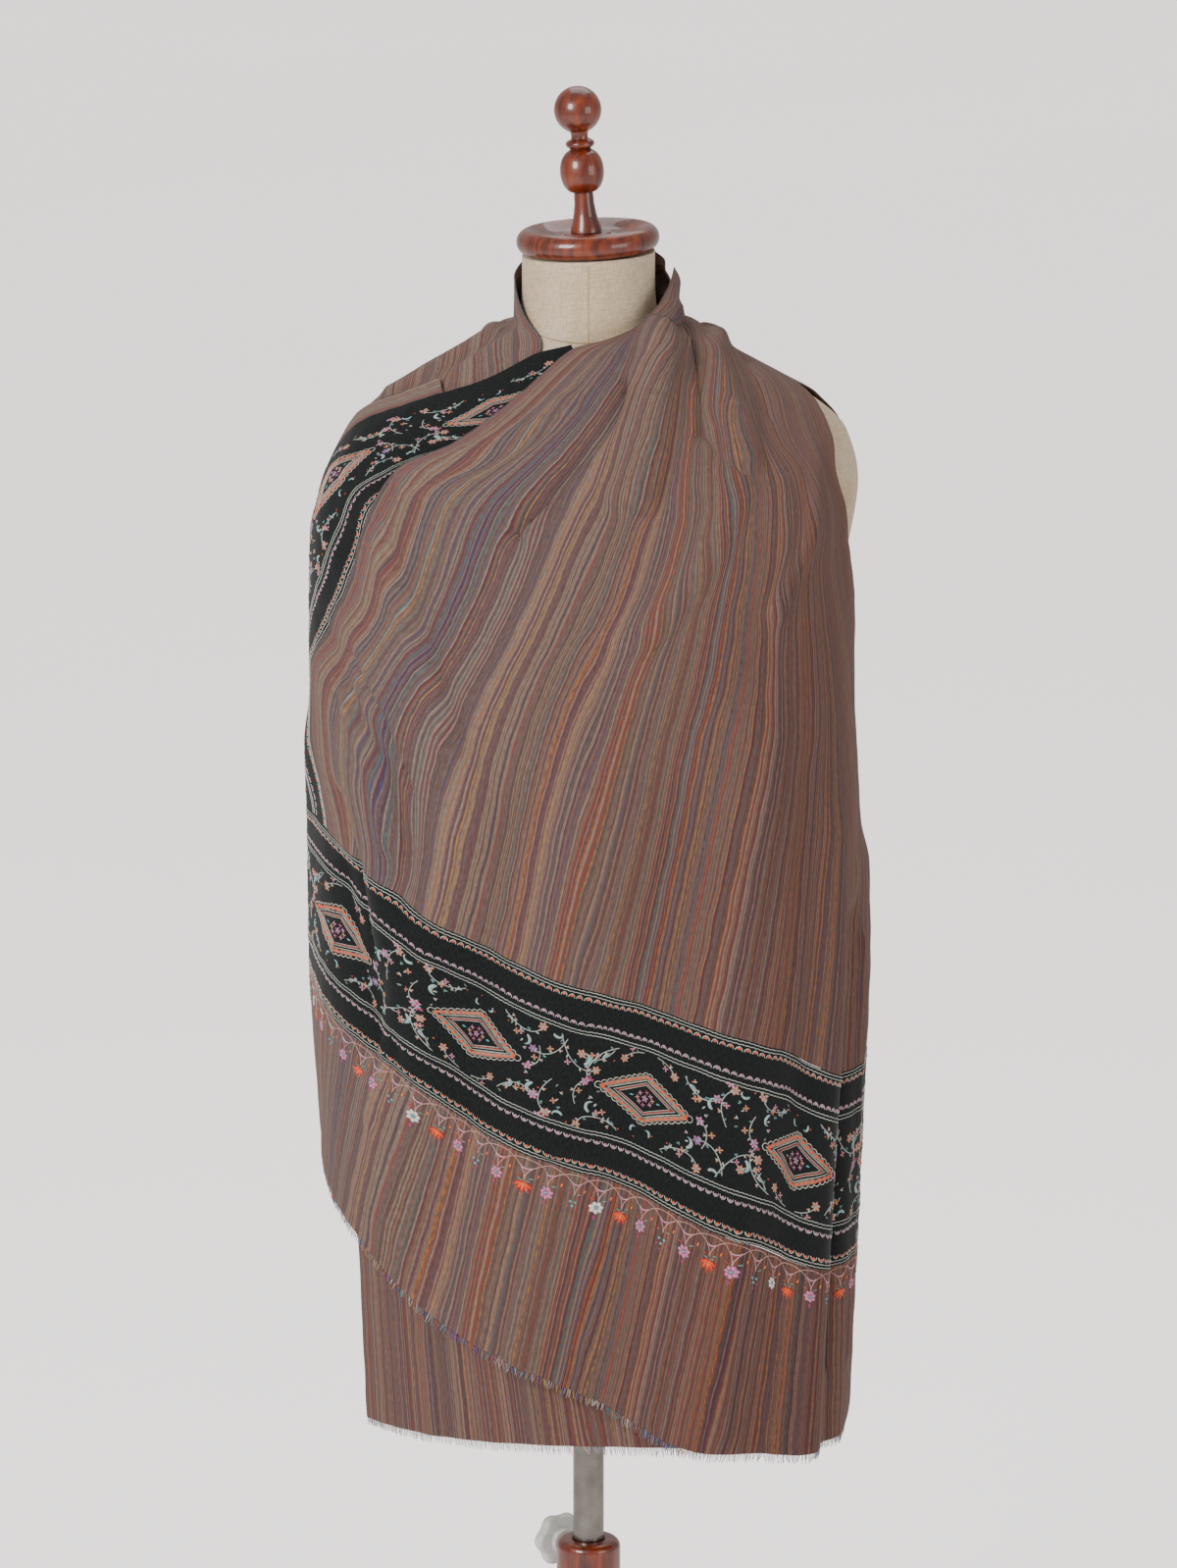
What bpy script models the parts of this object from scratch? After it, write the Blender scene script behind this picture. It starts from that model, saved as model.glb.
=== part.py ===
"""A fringed pashmina shawl worn on a limbless dress form with a pole and a round wooden base.

The shawl is one length of cloth. One end hangs down the front from the left shoulder, the middle
passes behind the neck as a low cowl, and the other end is gathered on the right shoulder and
spread over the first. Metres, +Z up, front towards -Y, origin on the floor under the pole.
Left and right are those of someone facing the front.

A place on the cloth is an angle round the form, 0 at the front and +90 at the right, and a drop
down from the neck. Drop rows are rings that rise over the shoulders and become level below them.
"""

from collections import namedtuple
from math import cos, pi, radians, sin

import bmesh
import bpy
import numpy as np
from mathutils import Matrix, Vector

# Driving sizes
CLOTH = 0.0014              # wall of the pashmina
SEAM = 0.0003               # gap between pieces that meet
CUT_SEAM = 0.0005           # the same along the cut, where folds draw the edges closer
UNDER_LENGTH = 0.93
LEAN = 0.042                # the form leans to its left: rise per metre across the shoulders
LEAN_ENDS = 0.34            # drop below which the cloth hangs level
UNDER_LIFT = 0.0011         # inner face of the under layer, above the hang surface
TUCK_LIFT = 0.0055          # inner face of the band where it is tucked under the front layer
FRONT_LIFT = 0.0086         # inner face of the front layer
SHOULDER_LIFT = 0.0012      # inner face of the front layer where only the form is under it
ROLL_GAP = 0.0010           # a standing fold's edges above the layer that it lies on

NECK_TOP = 1.4455
CAP_RADIUS = 0.056
CAP_TILT = radians(2.6)
FINIAL_TILT = radians(4.0)
POLE_RADIUS = 0.0125
COLUMN_TOP = 0.390
COLUMN_RADIUS = 0.026
BORE_DEPTH = 0.090
BASE_RADIUS = 0.175
BASE_HEIGHT = 0.032
SCREW_HEIGHT = 0.376
SCREW_RADIUS = 0.0040
SCREW_TURN = radians(122)   # the clamp screw points back and to the left
KNOB_RADIUS = 0.0225
FORM_BOTTOM = 0.680

# The cut of the front layer, in metres across from its embroidered edge and up from its hem
MARGIN = 0.020
SIDE_BAND = 0.130
BORDER = MARGIN + SIDE_BAND
STRIP = 0.165
END_BAND = 0.150
BAND_TOP = STRIP + END_BAND
FRONT_WIDTH = 0.820
FRONT_TOP = 0.900
FRINGE = 0.0075

Ring = namedtuple("Ring", "drop side_height front_height back_height left right front back flat")
FORM_RINGS = (
    Ring(-0.060, 1.4455, 1.4455, 1.4455, 0.052, 0.052, 0.052, 0.052, 1.00),
    Ring(-0.035, 1.425, 1.412, 1.430, 0.052, 0.052, 0.052, 0.052, 1.00),
    Ring(0.000, 1.397, 1.386, 1.400, 0.054, 0.054, 0.053, 0.056, 1.00),
    Ring(0.030, 1.380, 1.362, 1.380, 0.079, 0.080, 0.062, 0.067, 0.99),
    Ring(0.060, 1.366, 1.335, 1.355, 0.105, 0.106, 0.074, 0.078, 0.97),
    Ring(0.100, 1.343, 1.297, 1.317, 0.145, 0.148, 0.090, 0.090, 0.94),
    Ring(0.130, 1.327, 1.268, 1.288, 0.168, 0.176, 0.099, 0.097, 0.92),
    Ring(0.160, 1.301, 1.240, 1.258, 0.185, 0.203, 0.107, 0.102, 0.90),
    Ring(0.200, 1.264, 1.200, 1.220, 0.199, 0.212, 0.118, 0.105, 0.89),
    Ring(0.240, 1.222, 1.165, 1.180, 0.203, 0.206, 0.124, 0.105, 0.88),
    Ring(0.340, 1.115, 1.090, 1.090, 0.166, 0.166, 0.110, 0.094, 0.90),
    Ring(0.450, 1.005, 0.990, 0.990, 0.136, 0.136, 0.092, 0.086, 0.92),
    Ring(0.580, 0.875, 0.868, 0.868, 0.163, 0.163, 0.104, 0.110, 0.92),
    Ring(0.720, 0.735, 0.733, 0.733, 0.172, 0.172, 0.108, 0.116, 0.92),
)
HANG_RINGS = (
    Ring(-0.060, 1.4460, 1.438, 1.452, 0.058, 0.060, 0.0555, 0.059, 1.00),
    Ring(-0.035, 1.425, 1.412, 1.430, 0.056, 0.057, 0.0555, 0.0575, 1.00),
    Ring(0.000, 1.397, 1.386, 1.400, 0.0565, 0.0565, 0.0555, 0.0585, 1.00),
    Ring(0.030, 1.380, 1.362, 1.380, 0.0820, 0.0830, 0.0645, 0.0695, 0.99),
    Ring(0.060, 1.366, 1.335, 1.355, 0.1080, 0.1090, 0.0765, 0.0805, 0.97),
    Ring(0.100, 1.343, 1.297, 1.317, 0.1480, 0.1510, 0.0925, 0.0925, 0.94),
    Ring(0.130, 1.327, 1.268, 1.288, 0.1710, 0.1790, 0.1015, 0.0995, 0.92),
    Ring(0.160, 1.301, 1.240, 1.258, 0.1880, 0.2060, 0.1095, 0.1050, 0.90),
    Ring(0.200, 1.264, 1.200, 1.220, 0.2035, 0.2145, 0.1210, 0.1090, 0.88),
    Ring(0.240, 1.222, 1.165, 1.180, 0.2100, 0.2090, 0.1280, 0.1120, 0.87),
    Ring(0.340, 1.115, 1.090, 1.090, 0.2110, 0.2080, 0.1330, 0.1160, 0.86),
    Ring(0.450, 1.005, 0.990, 0.990, 0.2080, 0.2130, 0.1350, 0.1190, 0.86),
    Ring(0.580, 0.875, 0.868, 0.868, 0.2090, 0.2165, 0.1360, 0.1220, 0.86),
    Ring(0.720, 0.735, 0.733, 0.733, 0.2050, 0.2125, 0.1370, 0.1240, 0.86),
    Ring(0.970, 0.485, 0.485, 0.485, 0.1995, 0.2045, 0.1360, 0.1240, 0.86),
)

# Folds of the hanging cloth: a path of (angle, drop) places, half width and height in metres
Fold = namedtuple("Fold", "path width height")
FOLDS = (
    Fold(((-50, 0.19), (-41, 0.226), (-34, 0.29), (-27, 0.38), (-24, 0.43)), 0.024, 0.0065),
    Fold(((-64, 0.31), (-42, 0.39), (-36, 0.47)), 0.026, -0.0080),
    Fold(((-57, 0.36), (-47, 0.44), (-44, 0.54)), 0.024, 0.0045),
    Fold(((-58, 0.49), (-50, 0.56), (-42, 0.63)), 0.026, -0.0060),
    Fold(((-30, 0.48), (-36, 0.60), (-44, 0.76)), 0.024, 0.0060),
    Fold(((-12, 0.42), (-20, 0.60), (-26, 0.80)), 0.026, -0.0055),
    Fold(((4, 0.40), (-4, 0.62), (-12, 0.86)), 0.030, 0.0050),
    Fold(((18, 0.34), (10, 0.60), (2, 0.90)), 0.028, -0.0045),
    Fold(((34, 0.36), (28, 0.62), (20, 0.92)), 0.032, 0.0060),
    Fold(((52, 0.40), (46, 0.66), (38, 0.94)), 0.026, -0.0050),
    Fold(((62, 0.46), (58, 0.70), (54, 0.96)), 0.024, 0.0060),
    Fold(((74, 0.54), (70, 0.75), (69, 0.97)), 0.020, -0.0085),
    Fold(((92, 0.50), (96, 0.72), (98, 0.95)), 0.026, 0.0070),
    Fold(((108, 0.45), (114, 0.70), (118, 0.93)), 0.020, -0.0060),
    Fold(((-88, 0.40), (-96, 0.55), (-104, 0.72)), 0.026, 0.0065),
    Fold(((-112, 0.36), (-118, 0.52), (-126, 0.70)), 0.022, -0.0060),
    Fold(((-132, 0.33), (-138, 0.50), (-146, 0.68)), 0.024, 0.0060),
    Fold(((130, 0.245), (158, 0.285), (190, 0.30), (225, 0.26)), 0.020, 0.0075),
    Fold(((128, 0.15), (155, 0.175), (190, 0.185), (235, 0.15)), 0.018, 0.0065),
    Fold(((150, 0.075), (200, 0.085), (240, 0.07)), 0.016, 0.0060),
    Fold(((140, 0.34), (168, 0.385), (205, 0.37)), 0.018, 0.0060),
)
FOLD_METRES_PER_DEGREE = 0.0033

# The warp of the front layer: for each thread, its place across the cut, the grid columns up to
# the next thread, then rows of (height up from the hem, angle, drop)
FRONT_THREADS = (
    (0.000, 1, ((0, -156, 0.695), (STRIP, -146, 0.565), (BAND_TOP, -136, 0.435),
                (0.45, -148, 0.345), (0.55, -124, 0.252), (0.61, -107, 0.195),
                (0.66, -95, 0.156), (0.70, -82, 0.122))),
    (MARGIN, 5, ((0, -148, 0.700), (STRIP, -138, 0.570), (BAND_TOP, -128, 0.440),
                 (0.45, -141, 0.346), (0.55, -116, 0.252), (0.61, -100, 0.198),
                 (0.66, -87, 0.158), (0.70, -74, 0.124))),
    (BORDER, 7, ((0, -92, 0.730), (STRIP, -81, 0.595), (BAND_TOP, -70, 0.458),
                 (0.39, -81, 0.390), (0.45, -83, 0.342), (0.50, -71, 0.298),
                 (0.55, -58, 0.250), (0.61, -53, 0.200), (0.66, -52, 0.160),
                 (0.74, -40, 0.112), (0.80, -28, 0.056), (0.84, -10, 0.012),
                 (0.86, 12, 0.000), (0.88, 50, -0.010), (FRONT_TOP, 89, -0.044))),
    (0.290, 2, ((0, -60, 0.778), (STRIP, -42, 0.637), (BAND_TOP, -29, 0.510),
                (0.45, -20, 0.372), (0.58, -8, 0.225), (0.70, 3, 0.118), (0.80, 26, 0.046),
                (FRONT_TOP, 89, -0.022))),
    (0.350, 3, ((0, -32, 0.839), (STRIP, -20, 0.680), (BAND_TOP, -10, 0.540),
                (0.45, -4, 0.400), (0.58, 4, 0.256), (0.70, 15, 0.142), (0.80, 34, 0.066),
                (FRONT_TOP, 89, 0.002))),
    (0.430, 5, ((0, -8, 0.880), (STRIP, 0, 0.713), (BAND_TOP, 5, 0.566), (0.45, 12, 0.428),
                (0.58, 20, 0.288), (0.70, 27, 0.168), (0.80, 42, 0.092),
                (FRONT_TOP, 89, 0.024))),
    (0.570, 5, ((0, 22, 0.945), (STRIP, 31, 0.775), (BAND_TOP, 40, 0.620), (0.45, 47, 0.487),
                (0.58, 54, 0.357), (0.70, 51, 0.228), (0.80, 52, 0.140),
                (FRONT_TOP, 89, 0.056))),
    (0.700, 5, ((0, 75, 0.966), (STRIP, 74, 0.820), (BAND_TOP, 74, 0.660), (0.45, 77, 0.520),
                (0.58, 78, 0.385), (0.70, 63, 0.244), (0.80, 58, 0.160),
                (FRONT_TOP, 89, 0.088))),
    (FRONT_WIDTH, 0, ((0, 125, 0.946), (STRIP, 122, 0.800), (BAND_TOP, 119, 0.640),
                      (0.45, 115, 0.505), (0.58, 104, 0.368), (0.70, 75, 0.248),
                      (0.80, 64, 0.175), (FRONT_TOP, 89, 0.112))),
)
# The edge of the front layer where it tucks under the layer's own fold near the neck
TUCKED_THREADS = (
    (0.000, 1, ((0.64, -99, 0.170), (0.70, -80, 0.119), (0.76, -64, 0.066))),
    (MARGIN, 5, ((0.64, -92, 0.172), (0.70, -72, 0.124), (0.74, -61, 0.090),
                 (0.78, -47, 0.056), (0.82, -32, 0.022), (0.85, -12, 0.006))),
    (BORDER, 0, ((0.64, -52, 0.176), (0.70, -44, 0.144), (0.74, -33, 0.118),
                 (0.78, -20, 0.094), (0.82, -7, 0.072), (0.85, 3, 0.060))),
)
TUCK_STARTS, TUCK_ENDS = 0.60, 0.66
SINK_STARTS, SINK_ENDS = 0.54, 0.63
BAND_END = 0.85
MARGIN_END = 0.75
# Grid rows of the cut, up from the hem
ROW_HEIGHTS = (
    *np.linspace(0, STRIP, 5)[:-1],
    *np.linspace(STRIP, BAND_TOP, 6)[:-1],
    *np.linspace(BAND_TOP, 0.65, 12)[:-1],
    *np.linspace(0.65, MARGIN_END, 7)[:-1],
    *np.linspace(MARGIN_END, BAND_END, 7)[:-1],
    *np.linspace(BAND_END, FRONT_TOP, 7),
)
# The under layer: rows down its length, with the place of its left and right edges
UnderRow = namedtuple("UnderRow", "down left_angle left_drop right_angle right_drop")
UNDER_ROWS = (
    UnderRow(0.00, -89, 0.150, -89, -0.040),
    UnderRow(0.08, -84, 0.190, -62, -0.014),
    UnderRow(0.16, -79, 0.240, -34, 0.014),
    UnderRow(0.30, -72, 0.350, -14, 0.120),
    UnderRow(0.50, -66, 0.520, 6, 0.350),
    UnderRow(0.75, -62, 0.740, 22, 0.670),
    UnderRow(1.00, -59, 0.936, 34, 0.944),
)
# The cowl behind the neck: rows round the back, with the drops of its top and its lower edge
CowlRow = namedtuple("CowlRow", "angle top bottom")
COWL_ROWS = (
    CowlRow(89.5, -0.045, 0.112),
    CowlRow(105, -0.050, 0.190),
    CowlRow(130, -0.052, 0.330),
    CowlRow(160, -0.052, 0.415),
    CowlRow(185, -0.052, 0.430),
    CowlRow(210, -0.052, 0.390),
    CowlRow(240, -0.048, 0.262),
    CowlRow(258, -0.043, 0.178),
    CowlRow(270.5, -0.040, 0.150),
)
# Standing folds: places of the middle line as (angle, drop), with half width and rise there
RollRow = namedtuple("RollRow", "angle drop half_width rise")
NECK_ROLL = (
    RollRow(86, -0.032, 0.0075, 0.0060),
    RollRow(66, -0.010, 0.0095, 0.0090),
    RollRow(48, 0.016, 0.0115, 0.0110),
    RollRow(32, 0.046, 0.0120, 0.0105),
    RollRow(18, 0.090, 0.0115, 0.0075),
    RollRow(10, 0.130, 0.0090, 0.0040),
)
SHOULDER_ROLL = (
    RollRow(83, 0.050, 0.0090, 0.0110),
    RollRow(74, 0.052, 0.0100, 0.0110),
    RollRow(62, 0.062, 0.0105, 0.0095),
    RollRow(54, 0.082, 0.0100, 0.0060),
    RollRow(50, 0.108, 0.0080, 0.0030),
)
LEFT_ROLL = (
    RollRow(-80, 0.024, 0.0080, 0.0090),
    RollRow(-79, 0.050, 0.0100, 0.0085),
    RollRow(-80, 0.080, 0.0095, 0.0060),
    RollRow(-82, 0.106, 0.0070, 0.0030),
)

STRIPED = "striped_cloth"
MATERIALS = {
    # name: (colour, roughness, metallic)
    STRIPED: ((0.262, 0.156, 0.138), 0.85, 0.0),
    "black_band": ((0.006, 0.008, 0.008), 0.9, 0.0),
    "fringe": ((0.60, 0.55, 0.52), 0.9, 0.0),
    "form_linen": ((0.68, 0.56, 0.42), 0.9, 0.0),
    "mahogany": ((0.20, 0.022, 0.010), 0.2, 0.0),
    "steel_pole": ((0.45, 0.42, 0.39), 0.25, 1.0),
    "knob_plastic": ((0.80, 0.80, 0.78), 0.3, 0.0),
}


def clear_scene():
    for thing in list(bpy.data.objects):
        bpy.data.objects.remove(thing, do_unlink=True)


def material(name):
    if name in bpy.data.materials:
        return bpy.data.materials[name]
    colour, roughness, metallic = MATERIALS[name]
    made = bpy.data.materials.new(name)
    made.use_nodes = True
    shader = made.node_tree.nodes["Principled BSDF"]
    shader.inputs["Base Color"].default_value = (*colour, 1.0)
    shader.inputs["Roughness"].default_value = roughness
    shader.inputs["Metallic"].default_value = metallic
    made.diffuse_color = (*colour, 1.0)
    return made


def add_object(name, points, faces, slot, sharp_angle=50):
    mesh = bpy.data.meshes.new(name)
    mesh.from_pydata([tuple(p) for p in points], [], [tuple(f) for f in faces])
    mesh.materials.append(material(slot))
    mesh.shade_smooth()
    mesh.set_sharp_from_angle(angle=radians(sharp_angle))
    thing = bpy.data.objects.new(name, mesh)
    bpy.context.scene.collection.objects.link(thing)
    return thing


def curve_through(xs, ys, x):
    """Smooth curve through the rows that never overshoots them: each slope is the harmonic mean
    of its two neighbours', or nil where they differ in sign. Past the ends it runs straight."""
    xs = np.asarray(xs, float)
    ys = np.asarray(ys, float)
    x = np.asarray(x, float)
    gap = np.diff(xs)
    rise = np.diff(ys) / gap
    slope = np.concatenate([rise[:1], rise[:1], rise[1:]])[: len(xs)]
    slope[-1] = rise[-1]
    product = rise[:-1] * rise[1:]
    total = np.where(product > 0, rise[:-1] + rise[1:], 1.0)
    slope[1:-1] = np.where(product > 0, 2 * product / total, 0.0)
    i = np.clip(np.searchsorted(xs, x) - 1, 0, len(gap) - 1)
    t = np.clip((x - xs[i]) / gap[i], 0, 1)
    past = x - np.clip(x, xs[0], xs[-1])
    inside = (
        (2 * t**3 - 3 * t**2 + 1) * ys[i]
        + (t**3 - 2 * t**2 + t) * gap[i] * slope[i]
        + (3 * t**2 - 2 * t**3) * ys[i + 1]
        + (t**3 - t**2) * gap[i] * slope[i + 1]
    )
    return inside + past * np.where(x < xs[0], slope[0], slope[-1])


def ring_points(rings, angle, drop):
    """A flattened oval at each drop, wider on one side, which rises over the shoulders."""
    drops = [ring.drop for ring in rings]
    size = {
        field: curve_through(drops, [getattr(ring, field) for ring in rings], drop)
        for field in Ring._fields[1:]
    }
    turn = np.radians(angle)
    across = np.sin(turn)
    ahead = np.cos(turn)
    half_width = np.where(across < 0, size["left"], size["right"])
    half_depth = np.where(ahead > 0, size["front"], size["back"])
    x = half_width * np.sign(across) * np.abs(across) ** size["flat"]
    y = -half_depth * np.sign(ahead) * np.abs(ahead) ** size["flat"]
    middle = np.where(ahead > 0, size["front_height"], size["back_height"])
    z = size["side_height"] * across**2 + middle * ahead**2
    leaning = np.clip(1 - drop / LEAN_ENDS, 0, 1)
    return np.stack([x, y, z + LEAN * x * leaning], -1)


def fold_height(angle, drop):
    """Sum of the folds, each a bell across its path, with round ends."""
    total = np.zeros(np.broadcast(angle, drop).shape)
    for fold in FOLDS:
        nearest = np.full(total.shape, 9.0)
        for (angle_a, drop_a), (angle_b, drop_b) in zip(fold.path, fold.path[1:]):
            run = np.array([(angle_b - angle_a) * FOLD_METRES_PER_DEGREE, drop_b - drop_a])
            away = ((angle - angle_a + 180) % 360 - 180) * FOLD_METRES_PER_DEGREE
            down = drop - drop_a
            along = np.clip((away * run[0] + down * run[1]) / (run @ run), 0, 1)
            distance = np.hypot(away - along * run[0], down - along * run[1])
            nearest = np.minimum(nearest, distance)
        total = total + fold.height * np.exp(-((nearest / fold.width) ** 2))
    return total


def outward(surface, angle, drop):
    """Unit normal of a surface of angle and drop, by small steps each way."""
    turn_step, drop_step = 0.6, 0.002
    turned = surface(angle + turn_step, drop) - surface(angle - turn_step, drop)
    lowered = surface(angle, drop + drop_step) - surface(angle, drop - drop_step)
    normal = np.cross(lowered, turned)
    return normal / np.linalg.norm(normal, axis=-1, keepdims=True)


def hang_surface(angle, drop):
    """The surface that the lowest layer of cloth follows, without folds."""
    return ring_points(HANG_RINGS, angle, drop)


def folded_surface(angle, drop):
    smooth = hang_surface(angle, drop)
    height = fold_height(angle, drop)[..., None]
    return smooth + height * outward(hang_surface, angle, drop)


def cloth_points(angle, drop, lift):
    """Points on the folded cloth, moved out by lift."""
    lift = np.broadcast_to(lift, np.shape(angle))[..., None]
    return folded_surface(angle, drop) + lift * outward(folded_surface, angle, drop)


def wall(name, angle, drop, lift, slot, thickness=CLOTH):
    """A closed wall of cloth on a grid of angles and drops, its inner face at lift. Columns run
    to the right and rows run down."""
    inner = cloth_points(angle, drop, lift)
    outer = cloth_points(angle, drop, lift + thickness)
    return grid_wall(name, inner, outer, slot)


def grid_wall(name, inner, outer, slot):
    rows, columns = inner.shape[:2]
    count = rows * columns
    index = np.arange(count).reshape(rows, columns)
    a = index[:-1, :-1].ravel()
    b = index[1:, :-1].ravel()
    c = index[1:, 1:].ravel()
    d = index[:-1, 1:].ravel()
    faces = [*zip(a + count, b + count, c + count, d + count), *zip(d, c, b, a)]
    rim = [*index[0, ::-1], *index[1:, 0], *index[-1, 1:], *index[-2:0:-1, -1]]
    for p, q in zip(rim, rim[1:] + rim[:1]):
        faces.append((p, q, q + count, p + count))
    points = np.concatenate([inner.reshape(-1, 3), outer.reshape(-1, 3)])
    return add_object(name, points, faces, slot)


def thread_places(threads, across, up):
    """(angle, drop) of a grid of the cut, from its threads: first up each thread, then across."""
    places = [thread[0] for thread in threads]
    table = []
    for _, _, rows in threads:
        heights = [row[0] for row in rows]
        table.append([curve_through(heights, [row[k] for row in rows], up) for k in (1, 2)])
    table = np.array(table)
    angle = [curve_through(places, table[:, 0, row], across) for row in range(len(up))]
    drop = [curve_through(places, table[:, 1, row], across) for row in range(len(up))]
    return np.array(angle), np.array(drop)


def smooth_step(start, end, value):
    t = np.clip((value - start) / (end - start), 0, 1)
    return t * t * (3 - 2 * t)


def body_lift(angle, drop):
    """The front layer lies on the under layer, or at the right on the form alone."""
    bare = smooth_step(38, 62, angle) * smooth_step(0.02, 0.06, drop)
    return FRONT_LIFT + (SHOULDER_LIFT - FRONT_LIFT) * bare


def body_places(across, up):
    angle, drop = thread_places(FRONT_THREADS, across, up)
    return angle, drop, body_lift(angle, drop)


def edge_places(across, up):
    """The embroidered edge sinks, then slips under the fold of the front."""
    angle, drop = thread_places(FRONT_THREADS, across, up)
    tucked_angle, tucked_drop = thread_places(TUCKED_THREADS, across, up)
    tucked = smooth_step(TUCK_STARTS, TUCK_ENDS, up)[:, None]
    sinking = smooth_step(SINK_STARTS, SINK_ENDS, up)[:, None]
    angle = angle + (tucked_angle - angle) * tucked
    drop = drop + (tucked_drop - drop) * tucked
    return angle, drop, np.broadcast_to(FRONT_LIFT + (TUCK_LIFT - FRONT_LIFT) * sinking, drop.shape)


def held_in(stations, low, high):
    """The stations from low to high, the first and last held in by half a seam."""
    kept = np.array([s for s in stations if low - 1e-6 < s < high + 1e-6])
    kept[0] += CUT_SEAM / 2
    kept[-1] -= CUT_SEAM / 2
    return kept


def column_places():
    """Grid columns of the cut, across from its embroidered edge."""
    columns = [0.0]
    for (place, count, _), (next_place, _, _) in zip(FRONT_THREADS, FRONT_THREADS[1:]):
        columns.extend(np.linspace(place, next_place, count + 1)[1:])
    return columns


def front_piece(name, slot, left, right, low, high, places=body_places, thickness=CLOTH):
    across = held_in(column_places(), left, right)
    up = held_in(ROW_HEIGHTS, low, high)[::-1]
    angle, drop, lift = places(across, up)
    return wall(name, angle, drop, lift, slot, thickness)


def front_layer():
    front_piece("front_fall", STRIPED, BORDER, FRONT_WIDTH, BAND_TOP, FRONT_TOP)
    front_piece("end_band", "black_band", MARGIN, FRONT_WIDTH, STRIP, BAND_TOP)
    front_piece("end_strip", STRIPED, 0, FRONT_WIDTH, 0, STRIP)
    front_piece("side_band", "black_band", MARGIN, BORDER, BAND_TOP, BAND_END, edge_places)
    front_piece("side_margin", STRIPED, 0, MARGIN, STRIP, MARGIN_END, edge_places)
    across = held_in(column_places(), 0, FRONT_WIDTH)
    angle, drop, lift = body_places(across, np.array([-SEAM / 2, -FRINGE]))
    wall("front_fringe", angle, drop, lift, "fringe", CLOTH * 0.7)


def under_places(down, columns=11):
    step = np.linspace(0, 1, columns + 1)[None, :]
    downs = [row.down for row in UNDER_ROWS]
    edge = {
        field: curve_through(downs, [getattr(row, field) for row in UNDER_ROWS], down)[:, None]
        for field in UnderRow._fields[1:]
    }
    angle = edge["left_angle"] + (edge["right_angle"] - edge["left_angle"]) * step
    drop = edge["left_drop"] + (edge["right_drop"] - edge["left_drop"]) * step
    return angle, drop


def under_layer():
    shoulder = np.linspace(0, 0.3, 15)
    angle, drop = under_places(np.concatenate([shoulder, np.linspace(0.3, 1, 19)[1:]]))
    wall("under_fall", angle, drop, UNDER_LIFT, STRIPED)
    angle, drop = under_places(1 + np.array([SEAM, FRINGE]) / UNDER_LENGTH)
    wall("under_fringe", angle, drop, UNDER_LIFT, "fringe", CLOTH * 0.7)


def back_cowl():
    angle = np.linspace(COWL_ROWS[0].angle, COWL_ROWS[-1].angle, 37)
    angles = [row.angle for row in COWL_ROWS]
    top = curve_through(angles, [row.top for row in COWL_ROWS], angle)
    bottom = curve_through(angles, [row.bottom for row in COWL_ROWS], angle)
    step = np.linspace(0, 1, 10)[:, None]
    drop = top + (bottom - top) * step
    wall("back_cowl", np.broadcast_to(angle, drop.shape), drop, UNDER_LIFT, STRIPED)


def roll(name, table, base, steps=12, sides=6):
    """A standing fold of cloth: an arched strip along its middle line, its edges on the layer
    below, whose outer face is at base, and as high as rise in the middle."""
    place = np.linspace(0, len(table) - 1, steps + 1)
    knots = np.arange(len(table))
    row = {
        field: curve_through(knots, [getattr(r, field) for r in table], place)[:, None]
        for field in RollRow._fields
    }
    turn = np.linspace(-pi / 2, pi / 2, sides + 1)[None, :]
    # One step of angle or drop is worth this much along the surface
    angle_worth, drop_worth = surface_worth(row["angle"], row["drop"])
    run = np.gradient(row["angle"], axis=0) * angle_worth
    fall = np.gradient(row["drop"], axis=0) * drop_worth
    length = np.hypot(run, fall)

    def arch(shrink):
        aside = (row["half_width"] - shrink) * np.sin(turn)
        angle = row["angle"] + aside * fall / length / angle_worth
        drop = row["drop"] - aside * run / length / drop_worth
        rise = (row["rise"] - shrink) * np.cos(turn)
        return cloth_points(angle, drop, base(angle, drop) + ROLL_GAP + rise)

    grid_wall(name, arch(CLOTH), arch(0.0), STRIPED)


def surface_worth(angle, drop):
    """Metres along the hang surface for a degree of angle and for a metre of drop."""
    here = hang_surface(angle, drop)
    turned = np.linalg.norm(hang_surface(angle + 1, drop) - here, axis=-1)
    lowered = np.linalg.norm(hang_surface(angle, drop + 0.002) - here, axis=-1) / 0.002
    return turned, lowered


def front_outer(angle, drop):
    return body_lift(angle, drop) + CLOTH


def under_outer(angle, drop):
    return np.full(np.shape(angle), UNDER_LIFT + CLOTH)


def dress_form():
    """A limbless padded torso with a neck, closed underneath."""
    sides = 32
    angle = np.arange(sides) * 360 / sides
    drop = np.concatenate([[-0.060, -0.045, -0.030, -0.012], np.linspace(0, 0.72, 22)])
    rings = ring_points(FORM_RINGS, angle[None, :], drop[:, None])
    closing = []
    for turn in np.linspace(0, 80, 4)[1:]:
        shrink = 0.32 + 0.68 * cos(radians(turn))
        low = rings[-1].copy()
        low[:, :2] *= shrink
        low[:, 2] -= (rings[-1][:, 2] - FORM_BOTTOM) * sin(radians(turn)) / sin(radians(80))
        closing.append(low)
    points = np.concatenate([rings.reshape(-1, 3), *closing])
    rows = len(points) // sides
    index = np.arange(rows * sides).reshape(rows, sides)
    after = np.roll(index, -1, axis=1)
    faces = [
        *zip(index[:-1].ravel(), index[1:].ravel(), after[1:].ravel(), after[:-1].ravel()),
        tuple(index[0]),
        tuple(index[-1, ::-1]),
    ]
    add_object("dress_form", points, faces, "form_linen")


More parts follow.
